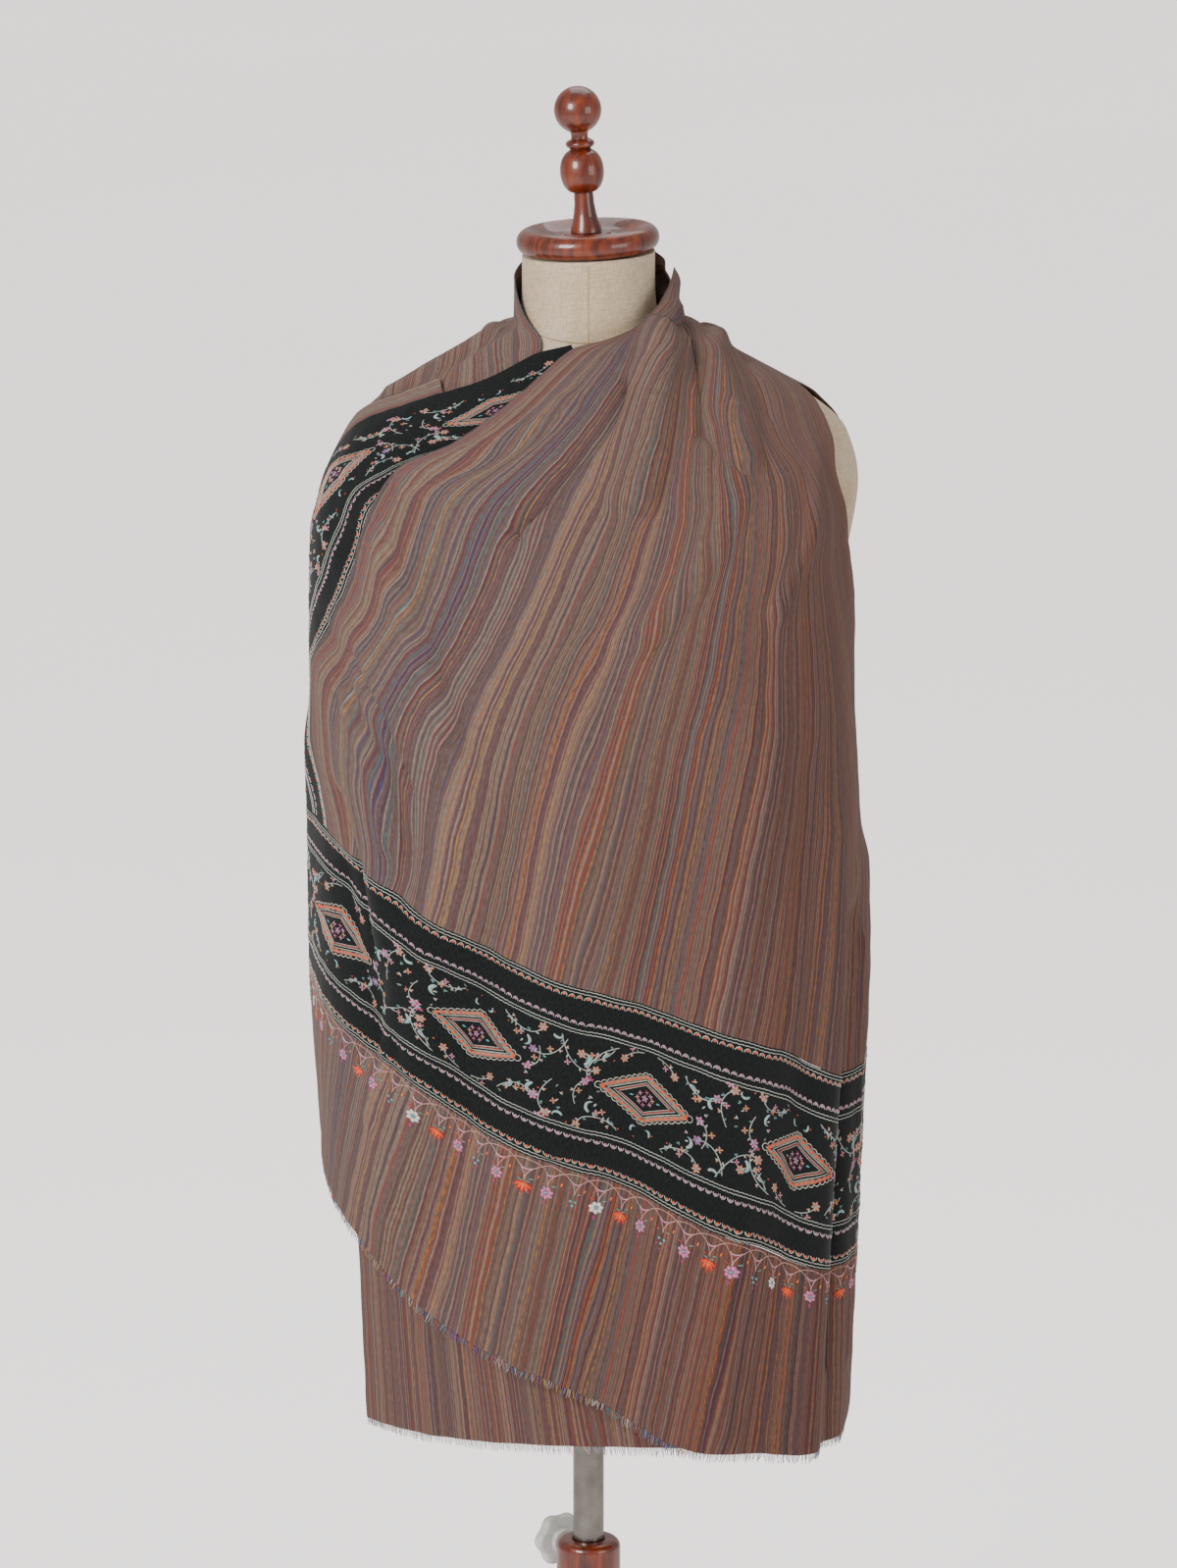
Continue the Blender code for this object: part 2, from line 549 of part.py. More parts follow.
def turned(name, profile, slot, sides=32):
    """A piece turned on a lathe: a profile of (radius, height) from its top centre down the
    outside to its bottom centre."""
    mesh = bpy.data.meshes.new(name)
    edges = [(i, i + 1) for i in range(len(profile) - 1)]
    mesh.from_pydata([(radius, 0, height) for radius, height in profile], edges, [])
    mesh.materials.append(material(slot))
    thing = bpy.data.objects.new(name, mesh)
    bpy.context.scene.collection.objects.link(thing)
    screw = thing.modifiers.new("turn", "SCREW")
    screw.steps = sides
    screw.render_steps = sides
    screw.use_merge_vertices = True
    screw.merge_threshold = 0.00001
    screw.use_smooth_shade = True
    return thing


def arc(radius, centre_radius, centre_height, start, end, steps=6):
    """(radius, height) points on an arc, angles in degrees from straight out."""
    return [
        (
            centre_radius + radius * cos(radians(start + (end - start) * i / steps)),
            centre_height + radius * sin(radians(start + (end - start) * i / steps)),
        )
        for i in range(steps + 1)
    ]


def neck_cap():
    """A glossy turned lid with a thick rounded rim and a raised disc in its dished top."""
    rim = 0.010
    profile = [
        (0, 0.016),
        (0.0175, 0.016),
        (0.0185, 0.015),
        (0.0185, 0.0125),
        (0.026, 0.0122),
        (0.034, 0.0135),
        (0.041, 0.0175),
        *arc(rim, CAP_RADIUS - rim, 0.0105, 80, -80, 6),
        (0.046, 0.0),
        (0, 0.0),
    ]
    cap = turned("neck_cap", profile, "mahogany")
    cap.location = (0, 0, NECK_TOP + SEAM)
    cap.rotation_euler = (0, -CAP_TILT, 0)
    return cap


def finial():
    """A turned knob on the cap: a ball on a waist, a bead and a vase."""
    ball = 0.0185
    profile = [
        *[(ball * sin(radians(t)), 0.0955 + ball * cos(radians(t))) for t in range(0, 157, 22)],
        (0.0066, 0.0765),
        (0.0068, 0.0730),
        *arc(0.0028, 0.0085, 0.0690, 70, -70, 4),
        (0.0078, 0.0650),
        *[(0.0172 - 0.0098 * (1 - cos(radians(t))), 0.0475 + 0.0165 * sin(radians(t)))
          for t in range(72, -91, -27)],
        (0.0078, 0.0290),
        (0.0088, 0.0150),
        (0.0118, 0.0040),
        (0.0124, 0.0),
        (0, 0.0),
    ]
    knob = turned("finial", profile, "mahogany", 20)
    seat = Matrix.Rotation(-CAP_TILT, 4, "Y") @ Vector((-0.001, 0, 0.0166))
    knob.location = (seat.x, seat.y, NECK_TOP + SEAM + seat.z)
    knob.rotation_euler = (0, -FINIAL_TILT, 0)
    return knob


def pole():
    bottom = COLUMN_TOP - BORE_DEPTH + SEAM
    top = FORM_BOTTOM - 0.010 - SEAM
    profile = [(0, top), (POLE_RADIUS, top), (POLE_RADIUS, bottom), (0, bottom)]
    turned("pole", profile, "steel_pole", 32)


def pole_flange():
    """The round plate under the form that the pole is fixed to."""
    top = FORM_BOTTOM - SEAM
    profile = [
        (0, top), (0.038, top), (0.040, top - 0.002), (0.040, top - 0.0075),
        (0.038, top - 0.0095), (0, top - 0.0095),
    ]
    turned("pole_flange", profile, "steel_pole")


def stand_column():
    """A turned wooden column with a rounded collar, bored for the pole."""
    bore = POLE_RADIUS + SEAM
    floor = COLUMN_TOP - BORE_DEPTH
    collar = 0.007
    profile = [
        (0, floor),
        (bore, floor),
        (bore, COLUMN_TOP - 0.0015),
        (bore + 0.0015, COLUMN_TOP),
        *arc(collar, COLUMN_RADIUS - collar, COLUMN_TOP - collar, 80, 0, 5),
        (COLUMN_RADIUS, COLUMN_TOP - 0.028),
        *arc(0.005, COLUMN_RADIUS - 0.005, COLUMN_TOP - 0.031, -10, -80, 3),
        (0.0195, COLUMN_TOP - 0.040),
        (0.0180, 0.300),
        (0.0180, 0.180),
        (0.0205, 0.110),
        (0.0250, 0.075),
        *arc(0.006, 0.026, 0.064, 60, -60, 5),
        (0.0260, 0.054),
        (0.0330, 0.044),
        (0.0400, BASE_HEIGHT + SEAM + 0.003),
        (0.0400, BASE_HEIGHT + SEAM),
        (0, BASE_HEIGHT + SEAM),
    ]
    column = turned("stand_column", profile, "mahogany", 28)
    cutter = bpy.data.objects.new("screw_cutter", cylinder_mesh(SCREW_RADIUS + SEAM, 0.020, 24))
    bpy.context.scene.collection.objects.link(cutter)
    cutter.matrix_world = screw_frame(0.022)
    cutter.hide_render = True
    cutter.display_type = "WIRE"
    cut = column.modifiers.new("screw_hole", "BOOLEAN")
    cut.operation = "DIFFERENCE"
    cut.object = cutter


def screw_frame(distance):
    """A frame at a distance from the pole's axis, its Z along the clamp screw."""
    outwards = Vector((cos(SCREW_TURN), sin(SCREW_TURN), 0))
    centre = Vector((0, 0, SCREW_HEIGHT)) + outwards * distance
    return Matrix.Translation(centre) @ outwards.to_track_quat("Z", "Y").to_matrix().to_4x4()


def cylinder_mesh(radius, length, sides):
    mesh = bpy.data.meshes.new("cylinder")
    shape = bmesh.new()
    bmesh.ops.create_cone(
        shape, cap_ends=True, segments=sides, radius1=radius, radius2=radius, depth=length
    )
    shape.to_mesh(mesh)
    shape.free()
    return mesh


def clamp():
    """A screw through the collar that holds the pole, and a lobed plastic knob on it."""
    start = POLE_RADIUS + SEAM
    end = 0.0345
    mesh = cylinder_mesh(SCREW_RADIUS, end - start, 24)
    mesh.materials.append(material("steel_pole"))
    mesh.shade_smooth()
    mesh.set_sharp_from_angle(angle=radians(40))
    screw = bpy.data.objects.new("clamp_screw", mesh)
    bpy.context.scene.collection.objects.link(screw)
    screw.matrix_world = screw_frame((start + end) / 2)
    sides = 36
    turn = np.arange(sides) * 2 * pi / sides
    lobes = 1 - 0.13 * (1 - np.cos(6 * turn)) / 2
    stations = (
        # height, share of the radius, share of the lobes
        (0.0, 0.45, 0.0), (0.004, 0.50, 0.0), (0.0055, 0.90, 1.0), (0.007, 0.97, 1.0),
        (0.010, 1.00, 1.0), (0.0135, 0.98, 1.0), (0.016, 0.90, 1.0), (0.0175, 0.74, 0.6),
        (0.018, 0.40, 0.0),
    )
    rings = []
    for height, share, lobed in stations:
        radius = KNOB_RADIUS * share * (1 + (lobes - 1) * lobed)
        rings.append(np.stack([radius * np.cos(turn), radius * np.sin(turn),
                               np.full(sides, height)], -1))
    points = np.concatenate(rings)
    index = np.arange(len(points)).reshape(-1, sides)
    after = np.roll(index, -1, axis=1)
    faces = [
        *zip(index[:-1].ravel(), after[:-1].ravel(), after[1:].ravel(), index[1:].ravel()),
        tuple(index[0, ::-1]),
        tuple(index[-1]),
    ]
    knob = add_object("clamp_knob", points, faces, "knob_plastic", 60)
    knob.matrix_world = screw_frame(end + SEAM)


def stand_base():
    """A turned wooden disc with a rounded edge, flat underneath."""
    profile = [
        (0, BASE_HEIGHT),
        (0.060, BASE_HEIGHT),
        (0.075, BASE_HEIGHT - 0.003),
        (0.120, BASE_HEIGHT - 0.007),
        (0.155, BASE_HEIGHT - 0.010),
        *arc(0.011, BASE_RADIUS - 0.011, 0.011, 80, -60, 5),
        (BASE_RADIUS - 0.012, 0.0),
        (0, 0.0),
    ]
    turned("stand_base", profile, "mahogany", 40)


def build():
    clear_scene()
    dress_form()
    neck_cap()
    finial()
    pole_flange()
    pole()
    stand_column()
    clamp()
    stand_base()
    under_layer()
    front_layer()
    back_cowl()
    roll("neck_roll", NECK_ROLL, front_outer)
    roll("shoulder_roll", SHOULDER_ROLL, front_outer)
    roll("left_roll", LEFT_ROLL, under_outer, 8)


build()
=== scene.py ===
from math import cos, pi, radians, sin

import bpy
import numpy as np
from mathutils import Matrix, Vector


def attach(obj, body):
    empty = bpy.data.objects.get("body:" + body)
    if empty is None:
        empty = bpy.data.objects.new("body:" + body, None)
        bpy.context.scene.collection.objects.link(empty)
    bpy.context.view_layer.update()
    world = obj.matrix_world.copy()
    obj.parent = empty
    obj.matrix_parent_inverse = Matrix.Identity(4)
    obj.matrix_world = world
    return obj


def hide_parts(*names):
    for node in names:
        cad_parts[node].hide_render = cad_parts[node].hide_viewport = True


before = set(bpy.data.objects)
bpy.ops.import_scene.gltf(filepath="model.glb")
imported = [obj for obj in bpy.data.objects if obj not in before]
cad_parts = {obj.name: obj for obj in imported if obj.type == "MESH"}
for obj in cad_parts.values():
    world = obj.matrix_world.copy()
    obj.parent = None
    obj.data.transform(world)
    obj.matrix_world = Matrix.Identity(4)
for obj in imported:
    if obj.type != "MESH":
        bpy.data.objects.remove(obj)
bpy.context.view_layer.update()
rng = np.random.default_rng(7)
print("frame loaded")

# The cut of the front layer in metres: across from its embroidered edge, and up from its hem
cut = {
    "margin": 0.020,
    "border": 0.150,       # across, where the side band ends and the striped body starts
    "strip": 0.165,        # striped cloth below the end band
    "bandTop": 0.315,
    "width": 0.820,
    "top": 0.900,
    "bandEnd": 0.85,
    "marginEnd": 0.75,
    "fringe": 0.0075,
    "underLength": 0.93,
    "underWidth": 0.36,
    "seam": 0.0003,
}
cloth = {
    "thickness": 0.0011,
    "underLift": 0.0012,   # inner face of the under layer above the hang surface
    "tuckLift": 0.0056,
    "frontLift": 0.0087,
    "shoulderLift": 0.0014,
    "foldMetresPerDegree": 0.0033,
    "rumple": 0.00035,
    "grid": 0.0042,        # mesh spacing
    "fineGrid": 0.0036,
    "lean": 0.042,
    "leanEnds": 0.34,
}

# ---- the drape: an angle round the form, 0 at the front and +90 at the right, and a drop from the neck

ringFields = ("sideHeight", "frontHeight", "backHeight", "left", "right", "front", "back", "flat")
# drop, then the fields
formRings = (
    (-0.060, 1.4455, 1.4455, 1.4455, 0.052, 0.052, 0.052, 0.052, 1.00),
    (-0.035, 1.425, 1.412, 1.430, 0.052, 0.052, 0.052, 0.052, 1.00),
    (0.000, 1.397, 1.386, 1.400, 0.054, 0.054, 0.053, 0.056, 1.00),
    (0.030, 1.380, 1.362, 1.380, 0.079, 0.080, 0.062, 0.067, 0.99),
    (0.060, 1.366, 1.335, 1.355, 0.105, 0.106, 0.074, 0.078, 0.97),
    (0.100, 1.343, 1.297, 1.317, 0.145, 0.148, 0.090, 0.090, 0.94),
    (0.130, 1.327, 1.268, 1.288, 0.168, 0.176, 0.099, 0.097, 0.92),
    (0.160, 1.301, 1.240, 1.258, 0.185, 0.203, 0.107, 0.102, 0.90),
    (0.200, 1.264, 1.200, 1.220, 0.199, 0.212, 0.118, 0.105, 0.89),
    (0.240, 1.222, 1.165, 1.180, 0.203, 0.206, 0.124, 0.105, 0.88),
    (0.340, 1.115, 1.090, 1.090, 0.166, 0.166, 0.110, 0.094, 0.90),
    (0.450, 1.005, 0.990, 0.990, 0.136, 0.136, 0.092, 0.086, 0.92),
    (0.580, 0.875, 0.868, 0.868, 0.163, 0.163, 0.104, 0.110, 0.92),
    (0.720, 0.735, 0.733, 0.733, 0.172, 0.172, 0.108, 0.116, 0.92),
)
hangRings = (
    (-0.060, 1.4460, 1.438, 1.452, 0.058, 0.060, 0.0555, 0.059, 1.00),
    (-0.035, 1.425, 1.412, 1.430, 0.056, 0.057, 0.0555, 0.0575, 1.00),
    (0.000, 1.397, 1.386, 1.400, 0.0565, 0.0565, 0.0555, 0.0585, 1.00),
    (0.030, 1.380, 1.362, 1.380, 0.0820, 0.0830, 0.0645, 0.0695, 0.99),
    (0.060, 1.366, 1.335, 1.355, 0.1080, 0.1090, 0.0765, 0.0805, 0.97),
    (0.100, 1.343, 1.297, 1.317, 0.1480, 0.1510, 0.0925, 0.0925, 0.94),
    (0.130, 1.327, 1.268, 1.288, 0.1710, 0.1790, 0.1015, 0.0995, 0.92),
    (0.160, 1.301, 1.240, 1.258, 0.1880, 0.2060, 0.1095, 0.1050, 0.90),
    (0.200, 1.264, 1.200, 1.220, 0.2035, 0.2145, 0.1210, 0.1090, 0.88),
    (0.240, 1.222, 1.165, 1.180, 0.2100, 0.2090, 0.1280, 0.1120, 0.87),
    (0.340, 1.115, 1.090, 1.090, 0.2110, 0.2080, 0.1330, 0.1160, 0.86),
    (0.450, 1.005, 0.990, 0.990, 0.2080, 0.2130, 0.1350, 0.1190, 0.86),
    (0.580, 0.875, 0.868, 0.868, 0.2090, 0.2165, 0.1360, 0.1220, 0.86),
    (0.720, 0.735, 0.733, 0.733, 0.2050, 0.2125, 0.1370, 0.1240, 0.86),
    (0.970, 0.485, 0.485, 0.485, 0.1995, 0.2045, 0.1360, 0.1240, 0.86),
)

# Folds: a path of (angle, drop) places, half width and height in metres
folds = (
    (((-50, 0.19), (-41, 0.226), (-34, 0.29), (-27, 0.38), (-24, 0.43)), 0.024, 0.0065),
    (((-64, 0.31), (-42, 0.39), (-36, 0.47)), 0.026, -0.0080),
    (((-57, 0.36), (-47, 0.44), (-44, 0.54)), 0.024, 0.0045),
    (((-58, 0.49), (-50, 0.56), (-42, 0.63)), 0.026, -0.0060),
    (((-30, 0.48), (-36, 0.60), (-44, 0.76)), 0.024, 0.0060),
    (((-12, 0.42), (-20, 0.60), (-26, 0.80)), 0.026, -0.0055),
    (((4, 0.40), (-4, 0.62), (-12, 0.86)), 0.030, 0.0050),
    (((18, 0.34), (10, 0.60), (2, 0.90)), 0.028, -0.0045),
    (((34, 0.36), (28, 0.62), (20, 0.92)), 0.032, 0.0060),
    (((52, 0.40), (46, 0.66), (38, 0.94)), 0.026, -0.0050),
    (((62, 0.46), (58, 0.70), (54, 0.96)), 0.024, 0.0060),
    (((74, 0.54), (70, 0.75), (69, 0.97)), 0.020, -0.0085),
    (((92, 0.50), (96, 0.72), (98, 0.95)), 0.026, 0.0070),
    (((108, 0.45), (114, 0.70), (118, 0.93)), 0.020, -0.0060),
    (((-88, 0.40), (-96, 0.55), (-104, 0.72)), 0.026, 0.0065),
    (((-112, 0.36), (-118, 0.52), (-126, 0.70)), 0.022, -0.0060),
    (((-132, 0.33), (-138, 0.50), (-146, 0.68)), 0.024, 0.0060),
    (((130, 0.245), (158, 0.285), (190, 0.30), (225, 0.26)), 0.020, 0.0075),
    (((128, 0.15), (155, 0.175), (190, 0.185), (235, 0.15)), 0.018, 0.0065),
    (((150, 0.075), (200, 0.085), (240, 0.07)), 0.016, 0.0060),
    (((140, 0.34), (168, 0.385), (205, 0.37)), 0.018, 0.0060),
)
# Standing folds and hollows where the front is gathered at the neck, then creases of the fall
frontCreases = (
    (((112, -0.030), (86, -0.028), (66, -0.008)), 0.0085, 0.0055),
    (((62, -0.004), (48, 0.016), (32, 0.046), (18, 0.090), (10, 0.130)), 0.0120, 0.0120),
    (((18, 0.050), (8, 0.078), (-3, 0.108), (-14, 0.160)), 0.0085, -0.0068),
    (((86, 0.010), (68, 0.028), (46, 0.066), (33, 0.102)), 0.0062, -0.0068),
    (((112, 0.046), (83, 0.050), (66, 0.056), (50, 0.086), (40, 0.130)), 0.0095, 0.0095),
    (((84, 0.074), (70, 0.084), (57, 0.112)), 0.0060, -0.0030),
    (((-8, 0.060), (-22, 0.092), (-36, 0.122), (-47, 0.150)), 0.0080, 0.0030),
    (((34, 0.140), (22, 0.190), (8, 0.245)), 0.0110, 0.0030),
    (((24, 0.150), (12, 0.200), (-6, 0.255)), 0.0150, -0.0014),
    (((58, 0.150), (50, 0.205), (40, 0.250)), 0.0100, 0.0030),
    (((-47, 0.200), (-39, 0.235), (-31, 0.300), (-26, 0.360)), 0.0090, 0.0030),
    (((-56, 0.300), (-44, 0.345), (-36, 0.400)), 0.0080, -0.0032),
    (((-60, 0.340), (-49, 0.390), (-44, 0.450)), 0.0075, 0.0030),
    (((-62, 0.420), (-53, 0.470), (-48, 0.540)), 0.0075, -0.0032),
    (((-40, 0.560), (-44, 0.620), (-50, 0.680)), 0.0080, 0.0028),
    (((72, 0.600), (70, 0.720), (70, 0.900)), 0.0060, -0.0045),
    (((84, 0.560), (84, 0.700), (86, 0.900)), 0.0080, 0.0030),
    (((-6, 0.700), (-12, 0.780), (-16, 0.860)), 0.0080, -0.0022),
    (((30, 0.760), (26, 0.850), (24, 0.930)), 0.0080, 0.0022),
)
underCreases = (
    (((-96, 0.020), (-80, 0.024), (-79, 0.050), (-80, 0.080), (-82, 0.106)), 0.0090, 0.0080),
    (((-60, 0.000), (-64, 0.030), (-66, 0.060)), 0.0060, 0.0030),
    (((-46, 0.010), (-50, 0.040), (-54, 0.075)), 0.0050, -0.0012),
    (((-36, 0.860), (-34, 0.960)), 0.0090, 0.0025),
    (((-12, 0.860), (-12, 0.960)), 0.0120, -0.0012),
)
backCreases = (
    frontCreases[0],
    frontCreases[4],
    (((136, 0.06), (165, 0.125), (200, 0.13), (232, 0.10)), 0.0080, 0.0030),
    (((142, 0.20), (172, 0.235), (204, 0.235), (232, 0.20)), 0.0080, -0.0025),
    (((150, 0.30), (178, 0.345), (206, 0.330)), 0.0085, 0.0030),
    (((246, 0.02), (256, 0.06), (262, 0.11)), 0.0080, 0.0035),
)

# The warp of the front layer: place across the cut, then rows of (height up from the hem, angle, drop)
frontThreads = (
    (0.000, ((0, -156, 0.695), (0.165, -146, 0.565), (0.315, -136, 0.435), (0.45, -148, 0.345),
             (0.55, -124, 0.252), (0.61, -107, 0.195), (0.66, -95, 0.156), (0.70, -82, 0.122))),
    (0.020, ((0, -148, 0.700), (0.165, -138, 0.570), (0.315, -128, 0.440), (0.45, -141, 0.346),
             (0.55, -116, 0.252), (0.61, -100, 0.198), (0.66, -87, 0.158), (0.70, -74, 0.124))),
    (0.150, ((0, -92, 0.730), (0.165, -81, 0.595), (0.315, -70, 0.458), (0.39, -81, 0.390),
             (0.45, -83, 0.342), (0.50, -71, 0.298), (0.55, -58, 0.250), (0.61, -53, 0.200),
             (0.66, -52, 0.160), (0.74, -40, 0.112), (0.80, -28, 0.056), (0.84, -10, 0.012),
             (0.86, 12, 0.000), (0.88, 50, -0.010), (0.90, 89, -0.044))),
    (0.290, ((0, -60, 0.778), (0.165, -42, 0.637), (0.315, -29, 0.510), (0.45, -20, 0.372),
             (0.58, -8, 0.225), (0.70, 3, 0.118), (0.80, 26, 0.046), (0.90, 89, -0.022))),
    (0.350, ((0, -32, 0.839), (0.165, -20, 0.680), (0.315, -10, 0.540), (0.45, -4, 0.400),
             (0.58, 4, 0.256), (0.70, 15, 0.142), (0.80, 34, 0.066), (0.90, 89, 0.002))),
    (0.430, ((0, -8, 0.880), (0.165, 0, 0.713), (0.315, 5, 0.566), (0.45, 12, 0.428),
             (0.58, 20, 0.288), (0.70, 27, 0.168), (0.80, 42, 0.092), (0.90, 89, 0.024))),
    (0.570, ((0, 22, 0.945), (0.165, 31, 0.775), (0.315, 40, 0.620), (0.45, 47, 0.487),
             (0.58, 54, 0.357), (0.70, 51, 0.228), (0.80, 52, 0.140), (0.90, 89, 0.056))),
    (0.700, ((0, 75, 0.966), (0.165, 74, 0.820), (0.315, 74, 0.660), (0.45, 77, 0.520),
             (0.58, 78, 0.385), (0.70, 63, 0.244), (0.80, 58, 0.160), (0.90, 89, 0.088))),
    (0.820, ((0, 125, 0.946), (0.165, 122, 0.800), (0.315, 119, 0.640), (0.45, 115, 0.505),
             (0.58, 104, 0.368), (0.70, 75, 0.248), (0.80, 64, 0.175), (0.90, 89, 0.112))),
)
# The edge where it tucks under the front layer's own fold near the neck
tuckedThreads = (
    (0.000, ((0.64, -99, 0.170), (0.70, -80, 0.119), (0.76, -64, 0.066))),
    (0.020, ((0.64, -92, 0.172), (0.70, -72, 0.124), (0.74, -61, 0.090), (0.78, -47, 0.056),
             (0.82, -32, 0.022), (0.85, -12, 0.006))),
    (0.150, ((0.64, -52, 0.176), (0.70, -44, 0.144), (0.74, -33, 0.118), (0.78, -20, 0.094),
             (0.82, -7, 0.072), (0.85, 3, 0.060))),
)
# The under layer: down its length, left angle, left drop, right angle, right drop
underRows = (
    (0.00, -89, 0.150, -89, -0.040), (0.08, -84, 0.190, -62, -0.014),
    (0.16, -79, 0.240, -34, 0.014), (0.30, -72, 0.350, -14, 0.120),
    (0.50, -66, 0.520, 6, 0.350), (0.75, -62, 0.740, 22, 0.670), (1.00, -59, 0.936, 34, 0.944),
)
# The cowl behind the neck: angle, drop of its top and of its lower edge
cowlRows = (
    (89.5, -0.045, 0.112), (102, -0.049, 0.140), (112, -0.050, 0.205), (130, -0.052, 0.330),
    (160, -0.052, 0.415), (185, -0.052, 0.430), (210, -0.052, 0.390), (240, -0.048, 0.262),
    (258, -0.043, 0.178), (270.5, -0.040, 0.150),
)


def curveThrough(places, values, at):
    # smooth curve through the rows: each slope is the harmonic mean of its neighbours', or nil
    # where they differ in sign, and past the ends it runs straight. Values are (rows) or (rows, points)
    places = np.asarray(places, float)
    values = np.asarray(values, float)
    gap = np.diff(places)
    rise = np.diff(values, axis=0) / gap.reshape((-1,) + (1,) * (values.ndim - 1))
    product = rise[:-1] * rise[1:]
    total = np.where(product > 0, rise[:-1] + rise[1:], 1.0)
    slope = np.concatenate([rise[:1], np.where(product > 0, 2 * product / total, 0.0), rise[-1:]])
    row = np.clip(np.searchsorted(places, at) - 1, 0, len(gap) - 1)
    column = () if values.ndim == 1 else (np.arange(len(at)),)

    def pick(table, k):
        return table[(k, *column)]
    t = np.clip((at - places[row]) / gap[row], 0, 1)
    past = at - np.clip(at, places[0], places[-1])
    return (
        (2 * t**3 - 3 * t**2 + 1) * pick(values, row)
        + (t**3 - 2 * t**2 + t) * gap[row] * pick(slope, row)
        + (3 * t**2 - 2 * t**3) * pick(values, row + 1)
        + (t**3 - t**2) * gap[row] * pick(slope, row + 1)
        + past * np.where(at < places[0], slope[0], slope[-1])
    )


def smoothStep(start, end, value):
    t = np.clip((value - start) / (end - start), 0, 1)
    return t * t * (3 - 2 * t)


def ringPoints(rings, angle, drop):
    # flattened oval: x = halfWidth * sin^flat, y = -halfDepth * cos^flat,
    # z = side height * sin^2 + front or back height * cos^2, plus the lean
    drops = [ring[0] for ring in rings]
    size = {
        field: curveThrough(drops, [ring[k + 1] for ring in rings], drop)
        for k, field in enumerate(ringFields)
    }
    across = np.sin(np.radians(angle))
    ahead = np.cos(np.radians(angle))
    halfWidth = np.where(across < 0, size["left"], size["right"])
    halfDepth = np.where(ahead > 0, size["front"], size["back"])
    x = halfWidth * np.sign(across) * np.abs(across) ** size["flat"]
    y = -halfDepth * np.sign(ahead) * np.abs(ahead) ** size["flat"]
    middle = np.where(ahead > 0, size["frontHeight"], size["backHeight"])
    leaning = np.clip(1 - drop / cloth["leanEnds"], 0, 1)
    z = size["sideHeight"] * across**2 + middle * ahead**2 + cloth["lean"] * x * leaning
    return np.stack([x, y, z], -1)


def hangSurface(angle, drop):
    return ringPoints(hangRings, angle, drop)


def foldHeight(angle, drop, table, metresPerDegree):
    # sum of height * exp(-(distance to the path / half width)^2)
    total = np.zeros(np.shape(angle))
    for path, width, height in table:
        nearest = np.full(total.shape, 9.0)
        for (angleA, dropA), (angleB, dropB) in zip(path, path[1:]):
            runX = (angleB - angleA) * metresPerDegree
            runY = dropB - dropA
            away = ((angle - angleA + 180) % 360 - 180) * metresPerDegree
            down = drop - dropA
            along = np.clip((away * runX + down * runY) / (runX**2 + runY**2), 0, 1)
            nearest = np.minimum(nearest, np.hypot(away - along * runX, down - along * runY))
        total = total + height * np.exp(-((nearest / width) ** 2))
    return total


def outward(surface, angle, drop):
    # unit normal, by small steps each way
    turned = surface(angle + 0.5, drop) - surface(angle - 0.5, drop)
    lowered = surface(angle, drop + 0.0015) - surface(angle, drop - 0.0015)
    normal = np.cross(lowered, turned)
    return normal / np.linalg.norm(normal, axis=-1, keepdims=True)


def layerSurface(creases):
    # hang surface + (broad folds + this layer's creases + a faint rumple) * normal
    def surface(angle, drop):
        radius = curveThrough([r[0] for r in hangRings], [(r[4] + r[5]) / 2 for r in hangRings], drop)
        height = foldHeight(angle, drop, folds, cloth["foldMetresPerDegree"])
        height = height + foldHeight(angle, drop, creases, radius * pi / 180)
        calm = smoothStep(0.02, 0.12, drop)
        rumple = np.sin(angle * 0.31 + 9 * np.sin(drop * 11)) * np.sin(drop * 61 + angle * 0.07)
        rumple = rumple + 0.6 * np.sin(angle * 0.83 + 31 * drop) * np.sin(drop * 127 - angle * 0.11)
        height = height + cloth["rumple"] * calm * rumple
        return hangSurface(angle, drop) + height[..., None] * outward(hangSurface, angle, drop)
    return surface


frontSurface = layerSurface(frontCreases)
underSurface = layerSurface(underCreases)
backSurface = layerSurface(backCreases)


def threadPlaces(threads, across, up):
    # (angle, drop) of places of the cut: first up each thread, then across the threads
    stations = [thread[0] for thread in threads]
    found = []
    for k in (1, 2):
        table = [
            curveThrough([row[0] for row in rows], [row[k] for row in rows], up) for _, rows in threads
        ]
        found.append(curveThrough(stations, np.array(table), across))
    return found


def bodyPlace(across, up):
    # the front layer lies on the under layer, or at the right on the form alone
    angle, drop = threadPlaces(frontThreads, across, up)
    bare = smoothStep(38, 62, angle) * smoothStep(0.02, 0.06, drop)
    return angle, drop, cloth["frontLift"] + (cloth["shoulderLift"] - cloth["frontLift"]) * bare


def edgePlace(across, up):
    # the embroidered edge sinks, then slips under the fold of the front
    angle, drop = threadPlaces(frontThreads, across, up)
    tuckedAngle, tuckedDrop = threadPlaces(tuckedThreads, across, up)
    tucked = smoothStep(0.60, 0.66, up)
    sinking = smoothStep(0.54, 0.63, up)
    lift = cloth["frontLift"] + (cloth["tuckLift"] - cloth["frontLift"]) * sinking
    return angle + (tuckedAngle - angle) * tucked, drop + (tuckedDrop - drop) * tucked, lift


